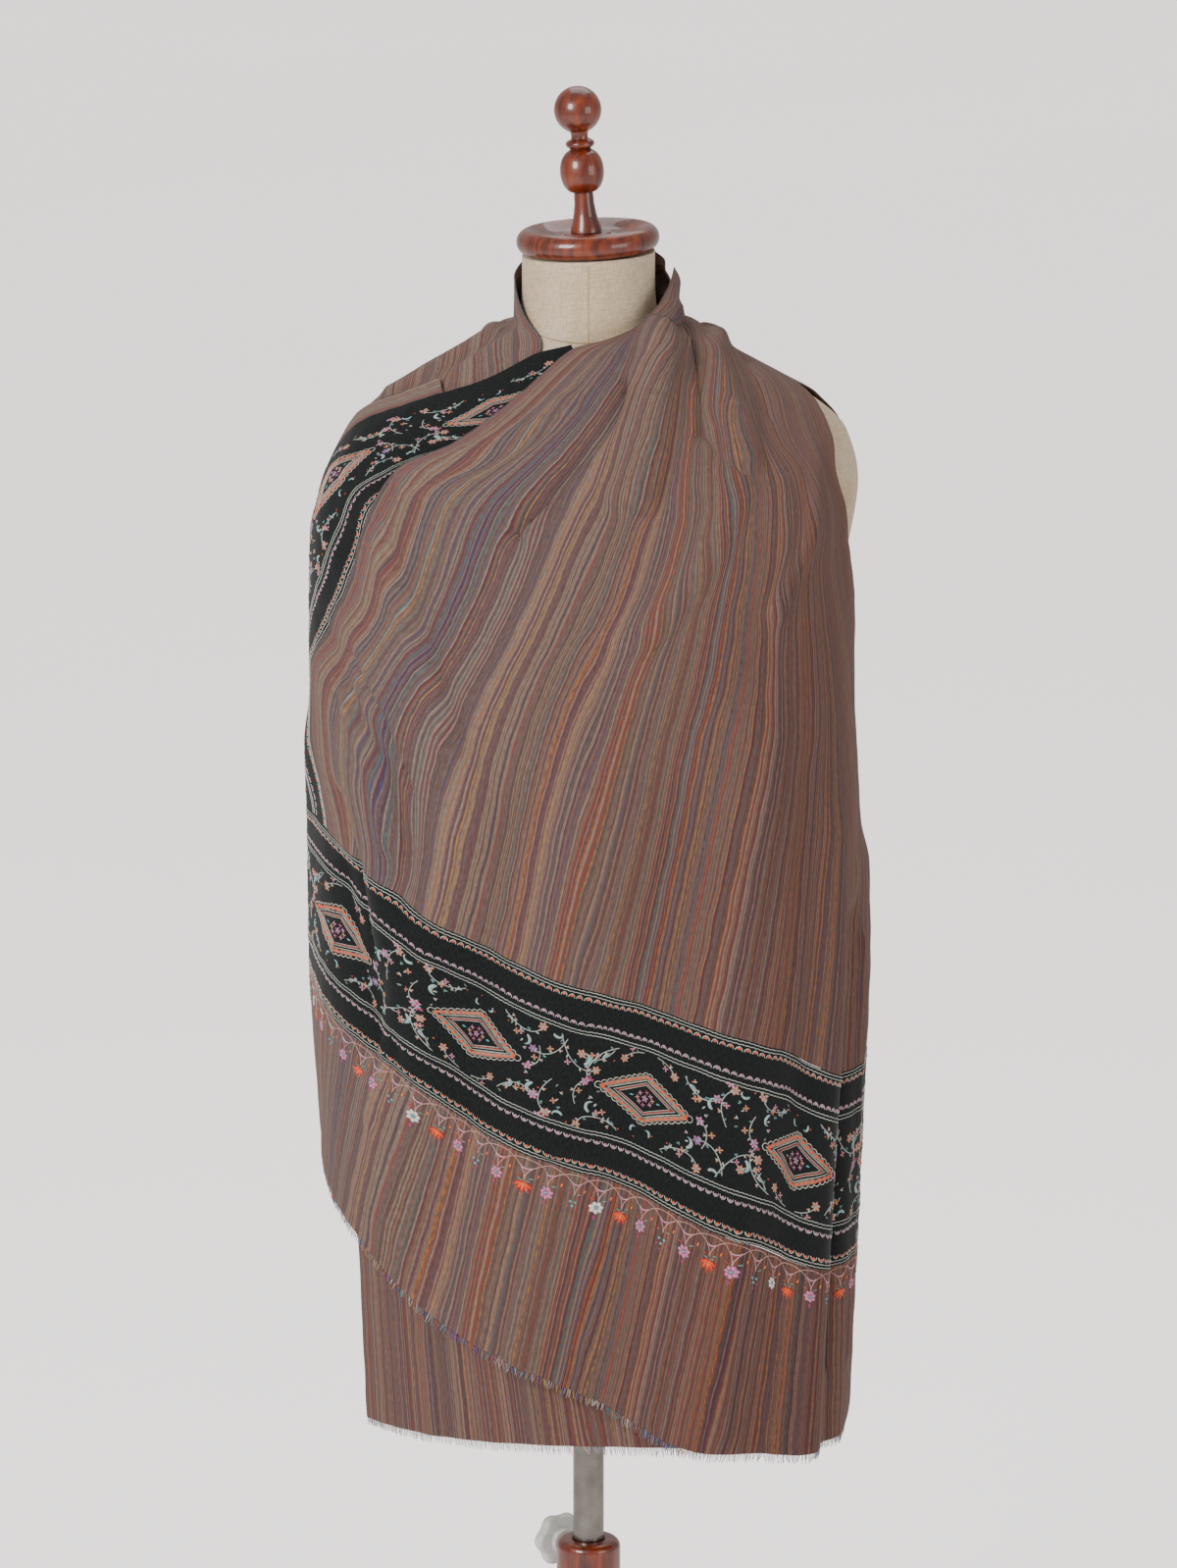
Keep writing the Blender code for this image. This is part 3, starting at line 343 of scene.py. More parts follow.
def underPlace(share, down):
    # share runs 0 to 1 from the left edge to the right, down 0 to 1 along the length
    rows = np.array(underRows)
    leftAngle, leftDrop, rightAngle, rightDrop = (
        curveThrough(rows[:, 0], rows[:, k], down) for k in (1, 2, 3, 4)
    )
    angle = leftAngle + (rightAngle - leftAngle) * share
    drop = leftDrop + (rightDrop - leftDrop) * share
    return angle, drop, np.full(angle.shape, cloth["underLift"])


def cowlPlace(share, angle):
    rows = np.array(cowlRows)
    top = curveThrough(rows[:, 0], rows[:, 1], angle)
    bottom = curveThrough(rows[:, 0], rows[:, 2], angle)
    return angle, top + (bottom - top) * share, np.full(angle.shape, cloth["underLift"])


# ---- small helpers for meshes

def linkMesh(name, points, faces, material, uv=None, colours=None, sharp=60):
    mesh = bpy.data.meshes.new(name)
    mesh.from_pydata(np.asarray(points).tolist(), [], faces)
    if uv is not None:
        corner = np.empty(len(mesh.loops), np.int32)
        mesh.loops.foreach_get("vertex_index", corner)
        mesh.uv_layers.new(name="cut").data.foreach_set("uv", np.asarray(uv)[corner].ravel())
    if colours is not None:
        layer = mesh.color_attributes.new("threadColour", "FLOAT_COLOR", "POINT")
        layer.data.foreach_set("color", np.asarray(colours, np.float32).ravel())
    mesh.materials.append(material)
    mesh.shade_smooth()
    mesh.set_sharp_from_angle(angle=radians(sharp))
    thing = bpy.data.objects.new(name, mesh)
    bpy.context.scene.collection.objects.link(thing)
    return thing


def ringQuads(index):
    # faces between neighbouring rings of points, one row of the index for each ring
    after = np.roll(index, -1, axis=1)
    return np.stack([index[:-1], index[1:], after[1:], after[:-1]], -1).reshape(-1, 4).tolist()


def gridWall(name, inner, outer, uv, material):
    # closed wall between two grids of points, rows down and columns to the right
    rows, columns = inner.shape[:2]
    count = rows * columns
    index = np.arange(count).reshape(rows, columns)
    quad = np.stack([index[:-1, :-1], index[1:, :-1], index[1:, 1:], index[:-1, 1:]], -1).reshape(-1, 4)
    rim = np.concatenate([index[0, ::-1], index[1:, 0], index[-1, 1:], index[-2:0:-1, -1]])
    after = np.roll(rim, -1)
    edge = np.stack([rim, after, after + count, rim + count], -1)
    faces = np.concatenate([quad + count, quad[:, ::-1], edge]).tolist()
    points = np.concatenate([inner.reshape(-1, 3), outer.reshape(-1, 3)])
    return linkMesh(name, points, faces, material, np.concatenate([uv, uv]))


def clothPiece(name, place, surface, u, v, uv, material):
    # a wall of cloth over the grid u (columns) by v (rows), lifted off the surface
    columns, rows = np.meshgrid(u, v)
    angle, drop, lift = place(columns.ravel(), rows.ravel())
    base = surface(angle, drop)
    normal = outward(surface, angle, drop)
    inner = (base + lift[:, None] * normal).reshape(len(v), len(u), 3)
    outer = (base + (lift + cloth["thickness"])[:, None] * normal).reshape(len(v), len(u), 3)
    return gridWall(name, inner, outer, uv(columns.ravel(), rows.ravel()), material)


threadRoot = 0.00008       # how far a stitch reaches into the cloth, in metres


def threadMesh(name, strokes, place, surface, material, sink=0.0):
    # every stroke is a low three-sided ridge that follows the cloth: left edge, crest, right edge.
    # a stroke is (points in mm, widths in mm, crest height in mm, colour)
    middles, sides, heights, colours, faces = [], [], [], [], []
    start = 0
    for path, width, height, colour in strokes:
        path = np.asarray(path, float) / 1000
        along = np.gradient(path, axis=0)
        along = along / np.maximum(np.linalg.norm(along, axis=1, keepdims=True), 1e-9)
        half = np.broadcast_to(np.asarray(width, float), len(path)) / 2000
        middles.append(path)
        sides.append(np.stack([-along[:, 1], along[:, 0]], -1) * half[:, None])
        heights.append(np.broadcast_to(height / 1000 * np.minimum(half / half.max() + 0.3, 1), len(path)))
        colours.append(np.tile(linear(colour), (len(path), 1)))
        ring = start + 3 * np.arange(len(path) - 1)
        for k in range(3):
            m = (k + 1) % 3
            faces.append(np.stack([ring + k, ring + 3 + k, ring + 3 + m, ring + m], -1))
        start += 3 * len(path)
    ends = np.cumsum([0] + [3 * len(m) for m in middles])
    caps = [[a, a + 1, a + 2] for a in ends[:-1]] + [[b - 1, b - 2, b - 3] for b in ends[1:]]
    middle = np.concatenate(middles)
    side = np.concatenate(sides)
    height = np.concatenate(heights)
    flat = np.stack([middle + side, middle, middle - side], 1).reshape(-1, 2)
    angle, drop, lift = place(flat[:, 0], flat[:, 1])
    crest = np.stack([0 * height, height, 0 * height], 1).ravel()
    lift = lift + cloth["thickness"] - sink + crest - threadRoot
    points = surface(angle, drop) + lift[:, None] * outward(surface, angle, drop)
    faces = np.concatenate(faces).tolist() + [[int(i) for i in cap] for cap in caps]
    colours = np.repeat(np.concatenate(colours), 3, 0)
    thing = linkMesh(name, points, faces, material, colours=colours, sharp=180)
    flipInsideOut(thing)
    return thing


def flipInsideOut(thing):
    # the signed volume tells whether the faces point inwards
    mesh = thing.data
    mesh.calc_loop_triangles()
    corners = np.empty(len(mesh.loop_triangles) * 3, np.int32)
    mesh.loop_triangles.foreach_get("vertices", corners)
    points = np.empty(len(mesh.vertices) * 3)
    mesh.vertices.foreach_get("co", points)
    triangle = points.reshape(-1, 3)[corners.reshape(-1, 3)]
    if np.einsum("ij,ij->i", triangle[:, 0], np.cross(triangle[:, 1], triangle[:, 2])).sum() < 0:
        mesh.flip_normals()


# ---- colours and materials

def linear(hexColour):
    # sRGB hex to linear RGBA
    values = np.array([int(hexColour[k:k + 2], 16) / 255 for k in (1, 3, 5)])
    values = np.where(values <= 0.04045, values / 12.92, ((values + 0.055) / 1.055) ** 2.4)
    return (*values.tolist(), 1.0)


def addNode(material, kind, settings=None, inputs=None):
    # one node, with its settings, and its inputs set to values or linked to sockets
    node = material.node_tree.nodes.new(kind)
    for key, value in (settings or {}).items():
        setattr(node, key, value)
    for key, value in (inputs or {}).items():
        if isinstance(value, bpy.types.NodeSocket):
            material.node_tree.links.new(value, node.inputs[key])
        else:
            node.inputs[key].default_value = value
    return node


def newMaterial(name, sockets):
    material = bpy.data.materials.new(name)
    material.use_nodes = True
    shader = material.node_tree.nodes["Principled BSDF"]
    for key, value in sockets.items():
        shader.inputs[key].default_value = value
    return material, shader


def linkTo(material, output, shader, socket):
    material.node_tree.links.new(output, shader.inputs[socket])


def math(material, operation, a, b=0.0):
    return addNode(material, "ShaderNodeMath", {"operation": operation}, {0: a, 1: b}).outputs[0]


def ramp(material, factor, stops, interpolation="LINEAR"):
    node = addNode(material, "ShaderNodeValToRGB", inputs={"Fac": factor})
    node.color_ramp.interpolation = interpolation
    elements = node.color_ramp.elements
    for k, (position, colour) in enumerate(stops):
        element = elements[k] if k < 2 else elements.new(position)
        element.position = position
        element.color = linear(colour)
    return node.outputs["Color"]


def mixColour(material, factor, a, b, blend="MIX"):
    settings = {"data_type": "RGBA", "blend_type": blend}
    return addNode(material, "ShaderNodeMix", settings, {0: factor, 6: a, 7: b}).outputs[2]


def noise(material, vector, scale, detail, **settings):
    return addNode(material, "ShaderNodeTexNoise", settings, {
        "Vector": vector, "Scale": scale, "Detail": detail}).outputs[0]


def stretched(material, vector, scale, rotation=(0, 0, 0)):
    return addNode(material, "ShaderNodeMapping", inputs={
        "Vector": vector, "Rotation": rotation, "Scale": scale}).outputs[0]


def mapRange(material, value, low, high, start, end):
    return addNode(material, "ShaderNodeMapRange", inputs={
        0: value, 1: low, 2: high, 3: start, 4: end}).outputs[0]


def objectPlace(material):
    return addNode(material, "ShaderNodeTexCoord").outputs["Object"]


def cutPlace(material):
    return addNode(material, "ShaderNodeUVMap", {"uv_map": "cut"}).outputs[0]


def shadeBy(material, colour, factor, low, high, dark, light):
    value = mapRange(material, factor, low, high, dark, light)
    return addNode(material, "ShaderNodeHueSaturation", inputs={"Value": value, "Color": colour}).outputs[0]


def bump(material, shader, height, strength, distance):
    node = addNode(material, "ShaderNodeBump", inputs={
        "Height": height, "Strength": strength, "Distance": distance})
    linkTo(material, node.outputs["Normal"], shader, "Normal")


def evenly(colours):
    return [(k / len(colours), colour) for k, colour in enumerate(colours)]


stripes = {
    "thread": 0.00090,     # finest stripe, in metres; a real end is about 0.3 mm, too fine to show
    "group": 0.0019,       # the repeat that the eye picks out
    "wander": 0.0002,
    "weft": 0.0012,
    "groupShare": 0.38,
    "accentFrom": 0.82,    # the rest, up to 1, is the share of bright yarns
    "colours": ("#85706a", "#a08d84", "#6c5052", "#a8988e", "#5a4350", "#885a4e", "#78706e", "#635864",
                "#98765f", "#82786f", "#5a5860", "#7c5060", "#a39788", "#6f5c56"),
    "groups": ("#8f7d76", "#6f5a5a", "#978679", "#7c6667", "#6a5c60", "#946f60", "#7a675f"),
    "accents": ("#b5602e", "#4a7a80", "#6e3560", "#9c3f35", "#4c5380", "#b98a48", "#7c2548"),
}


def wovenPashmina():
    # goat-hair pashmina in a fine twill of dyed yarns: matt, soft, with narrow warp stripes
    material, shader = newMaterial("twill woven pashmina", {
        "Roughness": 0.90, "Sheen Weight": 0.12, "Sheen Roughness": 0.45,
        "Sheen Tint": linear("#e8d8cc"), "Specular IOR Level": 0.25})

    def add(a, b):
        return math(material, "ADD", a, b)

    def times(a, b):
        return math(material, "MULTIPLY", a, b)

    uv = cutPlace(material)
    parts = addNode(material, "ShaderNodeSeparateXYZ", inputs={0: uv})
    wander = noise(material, uv, 22.0, 1.0, noise_dimensions="2D")
    u = add(parts.outputs[0], times(math(material, "SUBTRACT", wander, 0.5), stripes["wander"]))
    v = parts.outputs[1]

    def dice(step, seed):
        # a number from 0 to 1 for each stripe of this width
        cell = math(material, "FLOOR", math(material, "DIVIDE", u, step))
        return addNode(material, "ShaderNodeTexWhiteNoise", {"noise_dimensions": "1D"}, {
            "W": add(cell, seed)}).outputs[0]

    loose = stripes["thread"] * 1.1
    fine = ramp(material, dice(stripes["thread"], 0.37), evenly(stripes["colours"]), "CONSTANT")
    group = ramp(material, dice(stripes["group"], 41.3), evenly(stripes["groups"]), "CONSTANT")
    colour = mixColour(material, stripes["groupShare"], fine, group)
    accent = ramp(material, dice(loose, 71.9), evenly(stripes["accents"]), "CONSTANT")
    picked = math(material, "GREATER_THAN", dice(loose, 113.1), stripes["accentFrom"])
    # yarns show in short dashes where the twill lets them surface
    yarns = addNode(material, "ShaderNodeCombineXYZ", inputs={0: times(u, 900.0), 1: times(v, 170.0)})
    dash = noise(material, yarns.outputs[0], 1.0, 2.0, noise_dimensions="2D")
    dashes = mapRange(material, dash, 0.35, 0.65, 0.25, 0.85)
    colour = mixColour(material, times(picked, dashes), colour, accent)
    # partly painted shade: darker low down and to the right, away from the key light, and lighter up to the
    # left where it falls; also redder low down and to the right
    place = objectPlace(material)
    broad = noise(material, place, 5.0, 2.0)
    side = addNode(material, "ShaderNodeSeparateXYZ", inputs={0: place})
    slant = math(material, "SUBTRACT", add(side.outputs[0], times(broad, 0.25)), times(side.outputs[2], 0.35))
    shadeAndRedness = mapRange(material, slant, -0.42, 0.10, 0.0, 1.0)
    # painted light and shade: pale grey where the key light falls, darker and rosier in painted shade
    shadeAndRedTint = ramp(material, shadeAndRedness, ((0.0, "#d2ccc6"), (1.0, "#bea49a")))
    colour = mixColour(material, 1.0, colour, shadeAndRedTint, "MULTIPLY")
    linkTo(material, shadeBy(material, colour, dash, 0.3, 0.7, 0.80, 1.12), shader, "Base Color")
    twill = math(material, "SINE", times(add(u, v), 2 * pi / stripes["weft"]))
    bump(material, shader, add(times(twill, 0.35), dash), 0.35, 0.0004)
    return material


def blackWool():
    # dyed wool twill, sewn on as the ground of the embroidery: nearly black, with a green cast
    material, shader = newMaterial("black wool twill", {
        "Roughness": 0.92, "Sheen Weight": 0.10, "Sheen Roughness": 0.5, "Specular IOR Level": 0.2})
    uv = stretched(material, cutPlace(material), (1100, 260, 1), (0, 0, radians(40)))
    yarn = noise(material, uv, 1.0, 2.0, noise_dimensions="2D")
    linkTo(material, ramp(material, yarn, ((0.3, "#080b0b"), (0.7, "#191e1d"))), shader, "Base Color")
    bump(material, shader, yarn, 0.4, 0.0004)
    return material


def embroideryThread(name, roughness, sheen):
    # twisted silk thread in satin and chain stitch: the sheen runs with the stitches
    material, shader = newMaterial(name, {
        "Roughness": roughness, "Sheen Weight": sheen, "Sheen Roughness": 0.3, "Specular IOR Level": 0.4})
    colour = addNode(material, "ShaderNodeAttribute", {"attribute_name": "threadColour"}).outputs[0]
    twist = noise(material, objectPlace(material), 900.0, 1.0)
    linkTo(material, shadeBy(material, colour, twist, 0.3, 0.7, 0.72, 1.15), shader, "Base Color")
    bump(material, shader, twist, 0.5, 0.0003)
    return material


def tautLinen():
    # plain-weave linen stretched over padding: cream, dry, with slubs both ways
    material, shader = newMaterial("plain weave linen", {
        "Roughness": 0.9, "Sheen Weight": 0.15, "Specular IOR Level": 0.25})
    place = objectPlace(material)
    slubs = [noise(material, stretched(material, place, scale), 1.0, 2.0)
             for scale in ((1500, 1500, 160), (170, 170, 1500))]
    weave = math(material, "MULTIPLY", math(material, "ADD", *slubs), 0.5)
    colour = ramp(material, weave, ((0.35, "#b9a588"), (0.65, "#e0d0b8")))
    stain = ramp(material, noise(material, place, 14.0, 3.0), ((0.3, "#ece2d2"), (0.7, "#ffffff")))
    linkTo(material, mixColour(material, 1.0, colour, stain, "MULTIPLY"), shader, "Base Color")
    bump(material, shader, weave, 0.5, 0.0004)
    return material


def lacqueredMahogany():
    # turned mahogany, stained red-brown under a thick gloss lacquer
    material, shader = newMaterial("lacquered mahogany", {
        "Roughness": 0.36, "Coat Weight": 0.7, "Coat Roughness": 0.06, "Specular IOR Level": 0.5})
    place = objectPlace(material)
    warped = stretched(material, place, (170, 170, 22), (radians(6), radians(8), 0))
    grain = addNode(material, "ShaderNodeTexNoise", inputs={
        "Vector": warped, "Scale": 1.0, "Detail": 5.0, "Distortion": 0.6}).outputs[0]
    pores = noise(material, stretched(material, place, (1400, 1400, 90)), 1.0, 2.0)
    colour = ramp(material, grain, (
        (0.30, "#3a1004"), (0.72, "#8c3a0c"), (0.47, "#642004"), (0.58, "#782a07")))
    pore = ramp(material, pores, ((0.32, "#7a4a3c"), (0.45, "#ffffff")))
    linkTo(material, mixColour(material, 0.6, colour, pore, "MULTIPLY"), shader, "Base Color")
    bump(material, shader, grain, 0.06, 0.0005)
    return material


def polishedSteel():
    # drawn steel tube, polished, with fine scratches round it from sliding in its clamp
    material, shader = newMaterial("polished steel tube", {"Metallic": 1.0})
    place = objectPlace(material)
    scratch = noise(material, stretched(material, place, (60, 60, 1900)), 1.0, 3.0)
    dull = noise(material, place, 60.0, 3.0)
    rough = mapRange(material, math(material, "MULTIPLY", scratch, dull), 0.1, 0.45, 0.16, 0.42)
    linkTo(material, rough, shader, "Roughness")
    linkTo(material, ramp(material, dull, ((0.3, "#746f6a"), (0.7, "#8f8a84"))), shader, "Base Color")
    bump(material, shader, scratch, 0.08, 0.0002)
    return material


def mouldedPlastic():
    # pale injection-moulded polystyrene, a little cloudy
    material, shader = newMaterial("moulded polystyrene", {
        "Roughness": 0.28, "Subsurface Weight": 0.25, "Subsurface Scale": 0.004, "IOR": 1.55})
    cloud = noise(material, objectPlace(material), 130.0, 3.0)
    linkTo(material, ramp(material, cloud, ((0.3, "#cfd0cc"), (0.7, "#e6e6e2"))), shader, "Base Color")
    bump(material, shader, cloud, 0.05, 0.0003)
    return material


pashmina = wovenPashmina()
blackCloth = blackWool()
silk = embroideryThread("twisted silk thread", 0.5, 0.3)
looseYarn = embroideryThread("loose wool yarn", 0.85, 0.2)
linen = tautLinen()
mahogany = lacqueredMahogany()
steel = polishedSteel()
plastic = mouldedPlastic()
print("materials made")


# ---- the shawl's cloth

def stations(low, high, step=cloth["grid"]):
    half = cut["seam"] / 2
    return np.linspace(low + half, high - half, max(int((high - low) / step), 2) + 1)


def cutUv(across, up):
    return np.stack([across, up], -1)


def underUv(share, down):
    # its stripes start 1.3 m across the warp, clear of the front's, and are drawn over 0.46 m
    return np.stack([1.3 + share * 0.46, down * cut["underLength"]], -1)


def cowlUv(share, angle):
    return np.stack([0.15 + share * 0.67, angle * 0.0028], -1)


def shawl():
    margin, border, width = cut["margin"], cut["border"], cut["width"]
    strip, bandTop = cut["strip"], cut["bandTop"]
    fine = cloth["fineGrid"]
    # key, name, place, stations across, stations up, material
    table = (
        ("front", "front_fall", bodyPlace, stations(border, width), stations(bandTop, cut["top"]), pashmina),
        ("band", "end_band", bodyPlace, stations(margin, width), stations(strip, bandTop), blackCloth),
        ("strip", "end_strip", bodyPlace, stations(0, width), stations(0, strip), pashmina),
        ("side", "side_band", edgePlace, stations(margin, border, fine),
         stations(bandTop, cut["bandEnd"], fine), blackCloth),
        ("margin", "side_margin", edgePlace, stations(0, margin),
         stations(strip, cut["marginEnd"], fine), pashmina),
    )
    made = {}
    for key, name, place, across, up, material in table:
        made[key] = clothPiece(name + "_cloth", place, frontSurface, across, up[::-1], cutUv, material)
    made["under"] = clothPiece("under_fall_cloth", underPlace, underSurface, np.linspace(0, 1, 100),
                               np.linspace(0, 1, 230), underUv, pashmina)
    made["cowl"] = clothPiece("back_cowl_cloth", cowlPlace, backSurface, np.linspace(0, 1, 120),
                              np.linspace(89.5, 270.5, 170), cowlUv, pashmina)
    flipInsideOut(made["cowl"])
    return made


pieces = shawl()
print("cloth made")


# ---- embroidery, drawn flat in mm: x along the band, y across it, 0 at its middle

palette = {
    "cream": "#d8d2c2", "sage": "#74877a", "vine": "#b4bab2", "teal": "#58b4be", "deepTeal": "#3a8f9c",
    "orange": "#e8501e", "rust": "#b4301a", "pink": "#cf7fa6", "magenta": "#b02468", "violet": "#a05c9a",
    "yellow": "#f0a838", "white": "#e6e2dc", "blush": "#cf9c94", "peach": "#d98a6a", "chalk": "#c4c8be",
}


def line(points, width, colour, height=0.45):
    return (points, width, height, palette[colour])


def leaf(x, y, heading, length, width, colour, height=0.5, steps=4):
    # almond: width * sin(pi t) along a straight line
    t = np.linspace(0.04, 0.96, steps + 1)
    turn = radians(heading)
    points = np.stack([x + length * t * cos(turn), y + length * t * sin(turn)], -1)
    return (points, np.maximum(width * np.sin(pi * t), 0.12), height, palette[colour])


def comma(x, y, heading, size, colour, bend, fat, height):
    # a curl that is thick at its head and tapers along a turning line
    t = np.linspace(0, 1, 9)
    turn = radians(heading) + bend * (2.6 * t**1.4 - 0.6)
    step = size / 8
    points = np.cumsum(np.stack([np.cos(turn), np.sin(turn)], -1) * step, axis=0) + (x, y)
    width = size * fat * np.sin(pi * np.clip(0.12 + 0.86 * t, 0, 1)) ** 0.8 * (1 - 0.45 * t) + 0.2
    return (points, width, height, palette[colour])


def shifted(strokes, x, y):
    return [(points + np.array([x, y]), *rest) for points, *rest in strokes]


def dot(x, y, radius, colour, height=0.6):
    t = np.array([-0.95, -0.55, 0.55, 0.95])
    points = np.stack([x + radius * t, np.full(4, y)], -1)
    return (points, 2 * radius * np.array([0.35, 0.85, 0.85, 0.35]), height, palette[colour])


def rosette(x, y, radius, colour, centre="yellow", petals=5, outline="chalk"):
    strokes = []
    for k in range(petals):
        heading = 18 + 360 * k / petals
        a = radians(heading)
        strokes.append(leaf(x + 0.10 * radius * cos(a), y + 0.10 * radius * sin(a), heading,
                            1.02 * radius, 0.62 * radius, outline, 0.35, 3))
        strokes.append(leaf(x + 0.22 * radius * cos(a), y + 0.22 * radius * sin(a), heading,
                            0.82 * radius, 0.74 * radius, colour, 0.62, 3))
    strokes.append(dot(x, y, 0.26 * radius, centre, 0.8))
    return strokes


def rhombus(long, short, scallops, swell, steps):
    # closed outline with corners at (+-long, 0) and (0, +-short), swollen into scallops
    corners = np.array([(long, 0), (0, short), (-long, 0), (0, -short), (long, 0)], float)
    points = []
    for a, b in zip(corners, corners[1:]):
        t = np.linspace(0, 1, steps + 1)[:-1, None]
        across = np.array([(b - a)[1], -(b - a)[0]]) / np.hypot(*(b - a))
        bulge = swell * np.abs(np.sin(pi * scallops * t)) if scallops else 0.0
        points.append(a + (b - a) * t + across * bulge)
    points = np.concatenate(points)
    return np.concatenate([points, points[:1]])


diamond = {"long": 45.0, "short": 22.5, "pitch": 141.0, "scallops": 9}


def diamondMotif(x, y):
    long, short = diamond["long"], diamond["short"]
    reach = long * short / np.hypot(long, short)
    here = np.array([x, y])

    def ring(inset, scallops=0, swell=0.0, steps=8):
        k = 1 - inset / reach
        return rhombus(long * k, short * k, scallops, swell, steps) + here

    n = diamond["scallops"]
    strokes = [
        line(ring(3.4), 5.4, "sage", 0.25),
        line(ring(1.2, n, 1.5, n * 4), 0.75, "cream"),
        line(ring(5.9), 0.7, "cream"),
        line(ring(7.9), 0.6, "chalk"),
        line(ring(8.8), 1.0, "rust", 0.55),
        line(ring(9.8), 0.6, "chalk"),
    ]
    corners = np.array([(1, 0), (0, 1), (-1, 0), (0, -1), (1, 0)], float) * (long, short) * (1 - 3.3 / reach)
    for a, b in zip(corners, corners[1:]):
        for k in range(n):
            px, py = here + a + (b - a) * (k + 0.5) / n
            strokes.append(dot(px, py, 1.9, "orange", 0.7))
    strokes += rosette(x, y, 2.9, "pink", "teal")
    for dx, dy, colour in (
            (7.0, 0.6, "peach"), (-7.0, -0.6, "peach"), (1.2, 5.6, "magenta"), (-1.2, -5.6, "magenta"),
            (5.0, 3.6, "pink"), (-5.0, 3.4, "pink"), (-5.0, -3.6, "pink"), (5.0, -3.4, "pink")):
        strokes += rosette(x + dx, y + dy, 2.0, colour, "cream", 4)
    for dx in (12.5, -12.5):
        strokes.append(leaf(x + dx - 2, y, 0, 4, 1.8, "teal"))
    return strokes


# vines between two diamonds, in a cell 141 mm long: start x, y, heading, length, first and last
# turning in degrees per mm, kind of the flower at its tip
vines = (
    (14, -37, 12, 50, 1.2, 4.6, "pink"), (18, -36, 40, 40, -1.0, -6.5, "peach"),
    (26, 36, -20, 48, -1.0, -5.0, "magenta"), (30, 34, -62, 34, 1.4, 7.5, "pink"),
    (66, -37, 72, 46, -0.6, -5.5, "peach"), (72, -34, 100, 36, 1.2, 6.5, "violet"),
    (70, 2, 64, 44, 1.0, 4.5, "pink"), (68, 4, 128, 36, -1.2, -6.0, "peach"),
    (127, 37, 190, 50, 1.2, 4.8, "pink"), (122, 35, 218, 38, -1.2, -7.0, "peach"),
    (114, -36, 160, 46, -1.0, -5.0, "magenta"), (110, -34, 118, 32, 1.4, 7.0, "peach"),
    (4, 38, -8, 22, -0.8, -6.0, "peach"), (137, -38, 172, 22, -0.8, -6.0, "peach"),
    (52, -20, 60, 26, 2.0, 8.0, "pink"), (88, 22, 236, 26, 2.0, 8.0, "pink"),
)
commas = (
    (40, -24, 60, 12, "teal", 1), (101, 25, 240, 12, "teal", 1), (56, 14, 120, 13, "teal", -1),
    (86, -14, 300, 13, "teal", -1), (22, -30, 15, 9, "deepTeal", 1), (119, 30, 195, 9, "deepTeal", 1),
    (60, -34, 20, 10, "teal", -1), (80, 35, 200, 10, "teal", -1), (34, 27, -30, 10, "deepTeal", -1),
    (107, -27, 150, 10, "deepTeal", -1), (8, -31, 100, 8, "teal", 1), (133, 31, 280, 8, "teal", 1),
)


def vineStrokes(x, y, heading, length, bendA, bendB, flower, mirror, scale):
    # turning grows along the stem: heading + integral of (bendA + (bendB - bendA) t^2)
    count = int(length / 1.6)
    t = (np.arange(count) + 0.5) / count
    step = length / count
    bend = (bendA + (bendB - bendA) * t**2) * step
    turn = np.radians(heading + np.cumsum(bend))
    path = np.cumsum(np.stack([np.cos(turn), np.sin(turn)], -1) * step, axis=0) + (x, y)
    path = path * (1, mirror * scale)
    turn = np.degrees(np.arctan2(*np.gradient(path, axis=0).T[::-1]))
    strokes = [line(path, 0.85, "vine", 0.45)]
    for k in range(3, count - 2, 4):
        way = 1 if (k // 4) % 2 else -1
        kind = ("sage", "chalk", "vine")[(k // 4) % 3]
        strokes.append(leaf(*path[k], turn[k] + 52 * way, 3.4, 1.5, kind))
        if (k // 4) % 2:
            strokes.append(dot(path[k][0] - 2.2 * way * sin(radians(turn[k])),
                               path[k][1] + 2.2 * way * cos(radians(turn[k])), 0.75,
                               ("teal", "peach", "pink")[(k // 4) % 3]))
    middle = path[count // 2]
    a = radians(turn[count // 2] - 90)
    strokes += rosette(middle[0] + 3.6 * cos(a), middle[1] + 3.6 * sin(a), 2.5,
                       {"pink": "peach", "peach": "pink"}.get(flower, "peach"), "yellow", 4)
    strokes += rosette(*path[-1], 3.7, flower, "teal", 6)
    return strokes


def cellMotif(x0, mirror, half):
    # the ground between two diamonds, with every other cell turned over
    scale = half / 40.5
    strokes = []
    for row in vines:
        strokes += vineStrokes(*row, mirror, scale)
    for cx, cy, heading, size, colour, way in commas:
        for shade, fat, height in (("chalk", 0.30, 0.4), (colour, 0.17, 0.6)):
            strokes.append(comma(cx, mirror * cy * scale, mirror * heading, size, shade,
                                 way * mirror, fat, height))
        strokes.append(dot(cx + 3, mirror * (cy * scale + 3), 0.7, "orange"))
    return shifted(strokes, x0, 0.0)


def floretRow(low, high, y, colour, up, dots):
    # small arches side by side, each round a dot
    strokes = []
    t = np.linspace(0, pi, 6)
    for x in np.arange(low + 4, high - 3, 6.0):
        arch = np.stack([x + 2.3 * np.cos(t), y + up * (3.0 * np.sin(t) - 1.2)], -1)
        strokes.append(line(arch, 0.75, "chalk", 0.45))
        strokes.append(dot(x, y + up * 0.3, 1.25, colour))
        strokes.append(dot(x, y + up * 1.9, 0.6, dots))
    return strokes


def doubleLine(low, high, y):
    # two rows of chain stitch, 2.6 mm apart
    x = np.arange(low + 1.5, high - 1.5, 2.0)
    zigzag = 0.22 * (-1.0) ** np.arange(len(x))
    return [line(np.stack([x, y + offset + zigzag], -1), 0.75, "chalk") for offset in (-1.3, 1.3)]


